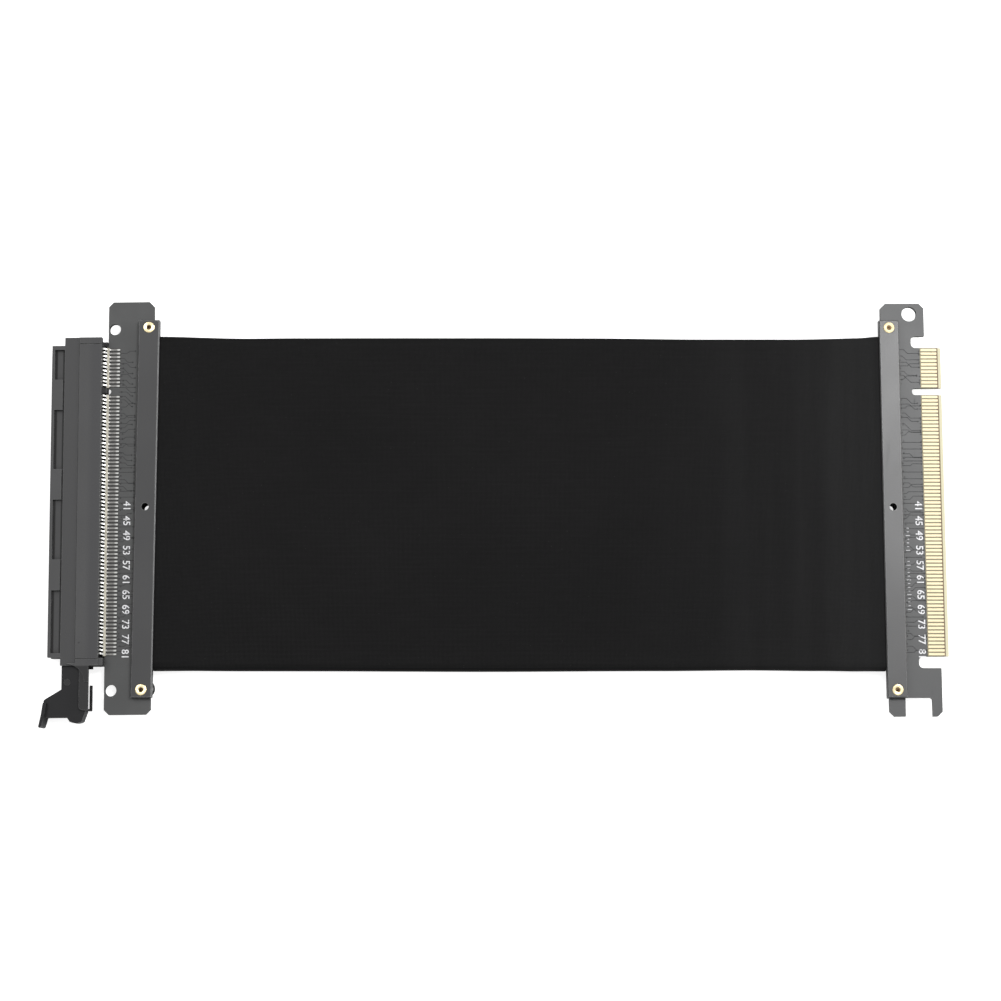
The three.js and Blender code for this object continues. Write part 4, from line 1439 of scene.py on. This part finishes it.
class Palette:
    """The finishes, each made into a material once."""

    TINNED: Colour = (0.19, 0.186, 0.18)
    # Painted highlight on the tin, where the tails' ends and bends catch the light.
    BRIGHT: Colour = (0.48, 0.48, 0.465)
    # Dark between the tails' feet: partly darker lacquer, partly painted shade.
    GAP: Colour = (0.012, 0.011, 0.01)
    OLIVE: Colour = (0.2, 0.17, 0.075)
    BROWN: Colour = (0.1, 0.055, 0.02)
    CREAM: Colour = (0.62, 0.58, 0.4)
    BLACK: Colour = (0.003, 0.003, 0.003)
    DRESSED = ("cable_sleeve", "slot_housing", "slot_washer")

    def __init__(self, slot: EndFrame, plug: EndFrame) -> None:
        """Makes the materials.

        Args:
            slot: the slot's frame.
            plug: the plug's frame.
        """
        self.housing = Finish("housing_moulded", (0.049, 0.049, 0.05), 0.48, specular=0.36, relief=0.000025,
                              reach=0.0018, hollow=0.85, edge=0.45, drift=0.1, speck=0.02,
                              speck_colour=(0.02, 0.02, 0.02), home=slot, zones=self.housing_zones()).build()
        self.latch = Finish("latch_moulded", (0.0105, 0.0105, 0.0115), 0.42, specular=0.22, edge=0.35,
                            edge_colour=(0.09, 0.09, 0.09), relief=0.00002).build()
        self.slot_board = Finish("slot_board_lacquer", (0.046, 0.047, 0.047), 0.46, edge=0.5, relief=0.000008,
                                 edge_colour=(0.22, 0.23, 0.2), drift=0.12, drift_scale=110, home=slot,
                                 zones=self.slot_board_zones(slot)).build()
        self.plug_board = Finish("plug_board_lacquer", (0.045, 0.046, 0.047), 0.42, edge=0.5, relief=0.000008,
                                 edge_colour=(0.3, 0.31, 0.28), drift=0.1, drift_scale=110, home=plug,
                                 zones=self.plug_board_zones()).build()
        # The bar's light edge lines are painted highlights.
        self.bar = Finish("bar_black", (0.03, 0.03, 0.031), 0.35, edge=0.75, edge_colour=(0.4, 0.4, 0.4),
                          edge_radius=0.00026, relief=0.00001, drift=0.06, scuff=0.05,
                          home=EndFrame((0.0, 0.0), 0.0), zones=self.bar_zones(slot, plug)).build()
        self.brass = Finish("eyelet_brass", (0.86, 0.74, 0.46), 0.28, metallic=1.0, edge=0.3,
                            edge_colour=(0.2, 0.13, 0.05), relief=0.00001, drift=0.1, drift_scale=600).build()
        # Dark brass, darkened further as painted shade inside the eyelets' bores.
        self.core = Finish("core_dark_brass_and_bore_shade", (0.14, 0.085, 0.04), 0.38, metallic=0.8, edge=0.0, drift=0.35,
                           drift_scale=900).build()
        self.ring = Finish("washer_dark", (0.012, 0.013, 0.01), 0.35, edge=0.0, drift=0.2).build()
        self.tin = Finish("tail_tinned", self.TINNED, 0.34, metallic=1.0, edge=0.0, relief=0.00002, grain=1400,
                          drift=0.16, drift_scale=700, hollow=0.5, reach=0.0004, home=slot, zones=(
                              # Painted highlights: lighter tin at the feet's ends and at the bends beside the
                              # housing.
                              Zone((-8.3, -60, -1), (-7.2, 60, 9), self.BRIGHT, 0.3, 1.0, 0.5),
                              Zone((-12.4, -60, -1), (-10.9, 60, 9), self.BRIGHT, 0.3, 1.0, 0.3),
                          )).build()
        # Near black: the comb's own dark plastic, plus painted shade in the gap under the tails.
        self.comb = Finish("comb_black_and_shade", (0.004, 0.004, 0.004), 0.5, specular=0.15, edge=0.0).build()
        self.rail = Finish("rail_cream", (0.56, 0.53, 0.44), 0.5, edge=0.0, hollow=0.3, relief=0.00003,
                           grain=1200, drift=0.2, drift_scale=500).build()
        self.gold = Finish("finger_gold", (0.54, 0.475, 0.325), 0.56, metallic=1.0, edge=0.5, hollow=0.6,
                           reach=0.00025, edge_colour=(0.3, 0.2, 0.07), edge_radius=0.00006, relief=0.000006,
                           drift=0.06, drift_scale=160).build()
        self.track = Finish("track_lacquer", (0.014, 0.014, 0.015), 0.5, edge=0.0, specular=0.3, hollow=0.4,
                            relief=0.000005).build()
        # Near black: the lacquer round each small hole plus painted shade for its bore.
        self.hole = Finish("hole_dark_and_bore_shade", (0.006, 0.006, 0.006), 0.5, specular=0.25, edge=0.0).build()
        self.print = Finish("print_white", (0.82, 0.82, 0.84), 0.6, edge=0.0, relief=0.00001, drift=0.12,
                            drift_scale=900).build()
        self.ribbon = Finish("ribbon_jacket", (0.03, 0.03, 0.034), 0.5, edge=0.3).build()

    def housing_zones(self) -> tuple[Zone, ...]:
        """The housing's darker cheeks at the latch end, painted shade along the two recessed lines of its lip, its
        darker cap, the post painted black, and its slightly darker front and rear slopes.
        """
        return (
            Zone((-30, -60, -1), (-10, -42.7, 9), (0.006, 0.006, 0.0065), 0.5, soft=0.4),
            # Painted shade in the lip's recesses and in the groove beside the bridges.
            Zone((-24.95, -41.0, 5.4), (-24.15, 43.6, 6.65), (0.006, 0.006, 0.006), 0.6, soft=0.12),
            Zone((-22.75, -41.0, 5.4), (-22.02, 43.6, 6.85), (0.008, 0.008, 0.008), 0.6, soft=0.12),
            Zone((-22.4, 46.5, -1), (-10, 49, 9), (0.014, 0.014, 0.0145), 0.5, soft=0.1),
            Zone((-12.12, 43.6, -1), (-10.0, 45.7, 5.3), self.BLACK, 0.6, soft=0.08),
            Zone((-22.0, -42.6, -1), (-18.12, 46.5, 9), (0.04, 0.04, 0.041), 0.5, soft=0.1),
            Zone((-15.0, -42.0, 4.0), (-11.9, 46.0, 9), (0.04, 0.04, 0.042), 0.52, soft=1.6),
        )

    def slot_board_zones(self, slot: EndFrame) -> tuple[Zone, ...]:
        """Dark strips between the tails' feet, partly the lacquer's darker colour and partly painted shade, and the
        tinned tails themselves.
        """
        return (
            # Dark strips between the feet: darker lacquer with painted shade on top.
            Zone((-10.7, 33.0, -1), (-7.5, 43.95, 9), self.GAP, 0.5),
            Zone((-10.7, -40.0, -1), (-7.5, 30.95, 9), self.GAP, 0.5),
            Zone((-13, -41, slot.top + 0.04), (-7.4, 46, 9), self.TINNED, 0.3, 1.0),
            Zone((-13, -41, -1), (-7.4, 46, slot.middle - 0.84), self.TINNED, 0.3, 1.0),
            Zone((-13, -41, -1), (-10.82, 46, 9), self.TINNED, 0.3, 1.0),
        )

    def plug_board_zones(self) -> tuple[Zone, ...]:
        """The tongue between the fingers, its darker line, and its pale leading slope."""
        return (
            Zone((8.6, -41, -1), (15, 45, 9), self.OLIVE, 0.4, soft=0.05),
            Zone((12.7, -41, -1), (13.5, 45, 9), self.BROWN, 0.4, soft=0.3),
            Zone((13.5, -41, -1), (15, 45, 9), self.CREAM, 0.5, soft=0.3),
        )

    def bar_zones(self, *ends: EndFrame) -> tuple[Zone, ...]:
        """Painted shade, black, on the walls of the bars' centre holes."""
        places = [(end.origin[0] / MM, end.origin[1] / MM, end.top + 2.0) for end in ends]
        return tuple(Zone((x - 1.06, y - 1.06, -1), (x + 1.06, y + 1.06, z), self.BLACK, 0.7, soft=0.1)
                     for x, y, z in places)

    def dress_nodes(self, nodes: dict[str, Thing]) -> None:
        """Gives every CAD node that stays its material.

        Args:
            nodes: the CAD nodes by name. Those that pieces stand for are left alone.
        """
        own = {"slot_latch": self.latch, "slot_board": self.slot_board, "plug_board": self.plug_board}
        kinds = {"eyelet": self.brass, "bar": self.bar, "ribbon": self.ribbon}
        for name, node in nodes.items():
            if name in self.DRESSED:
                continue
            material = own.get(name) or next(kinds[kind] for kind in kinds if kind in name)
            node.data.materials.clear()
            node.data.materials.append(material)
            log.info("node %s: %s", name, material.name)


def main() -> None:
    """Builds the studio, the materials and the pieces."""
    Studio().build()
    slot = EndFrame.of_bars("slot_front_bar", "slot_back_bar", 0.65)
    plug = EndFrame.of_bars("plug_front_bar", "plug_back_bar")
    palette = Palette(slot, plug)
    palette.dress_nodes(frame["nodes"])
    CableCloth().build((slot, plug))
    ContactTails().build(slot, palette.tin)
    SolderRail().build(slot, palette.rail)
    RearComb().build(slot, palette.comb)
    HousingShell().build(slot, frame["nodes"]["slot_housing"], palette.housing)
    GoldFingers().build(plug, palette.gold)
    WasherRing().build(palette.ring)
    EyeletCores().build(palette.core)
    slot_traces = Traces("slot", -7.4, -3.0, 42.5, -40.0, seed=11, radius=0.11, dot_x=-3.35)
    slot_traces.build(slot, palette.track, palette.hole)
    plug_traces = Traces("plug", 2.85, 8.7, 43.6, -41.5, seed=5, radius=0.13, key=(30.6, 33.3), pads=8.4)
    plug_traces.build(plug, palette.track, palette.hole)
    PinNumbers("slot_pin_numbers", -5.3, -6.9).build(slot, palette.print)
    ticks = (*range(47, 54), *range(56, 70))
    PinNumbers("plug_pin_numbers", 7.1, 4.1, ticks=ticks).build(plug, palette.print)
    scene = bpy.context.scene
    scene.view_settings.view_transform = "Standard"


if __name__ == "__main__":
    main()
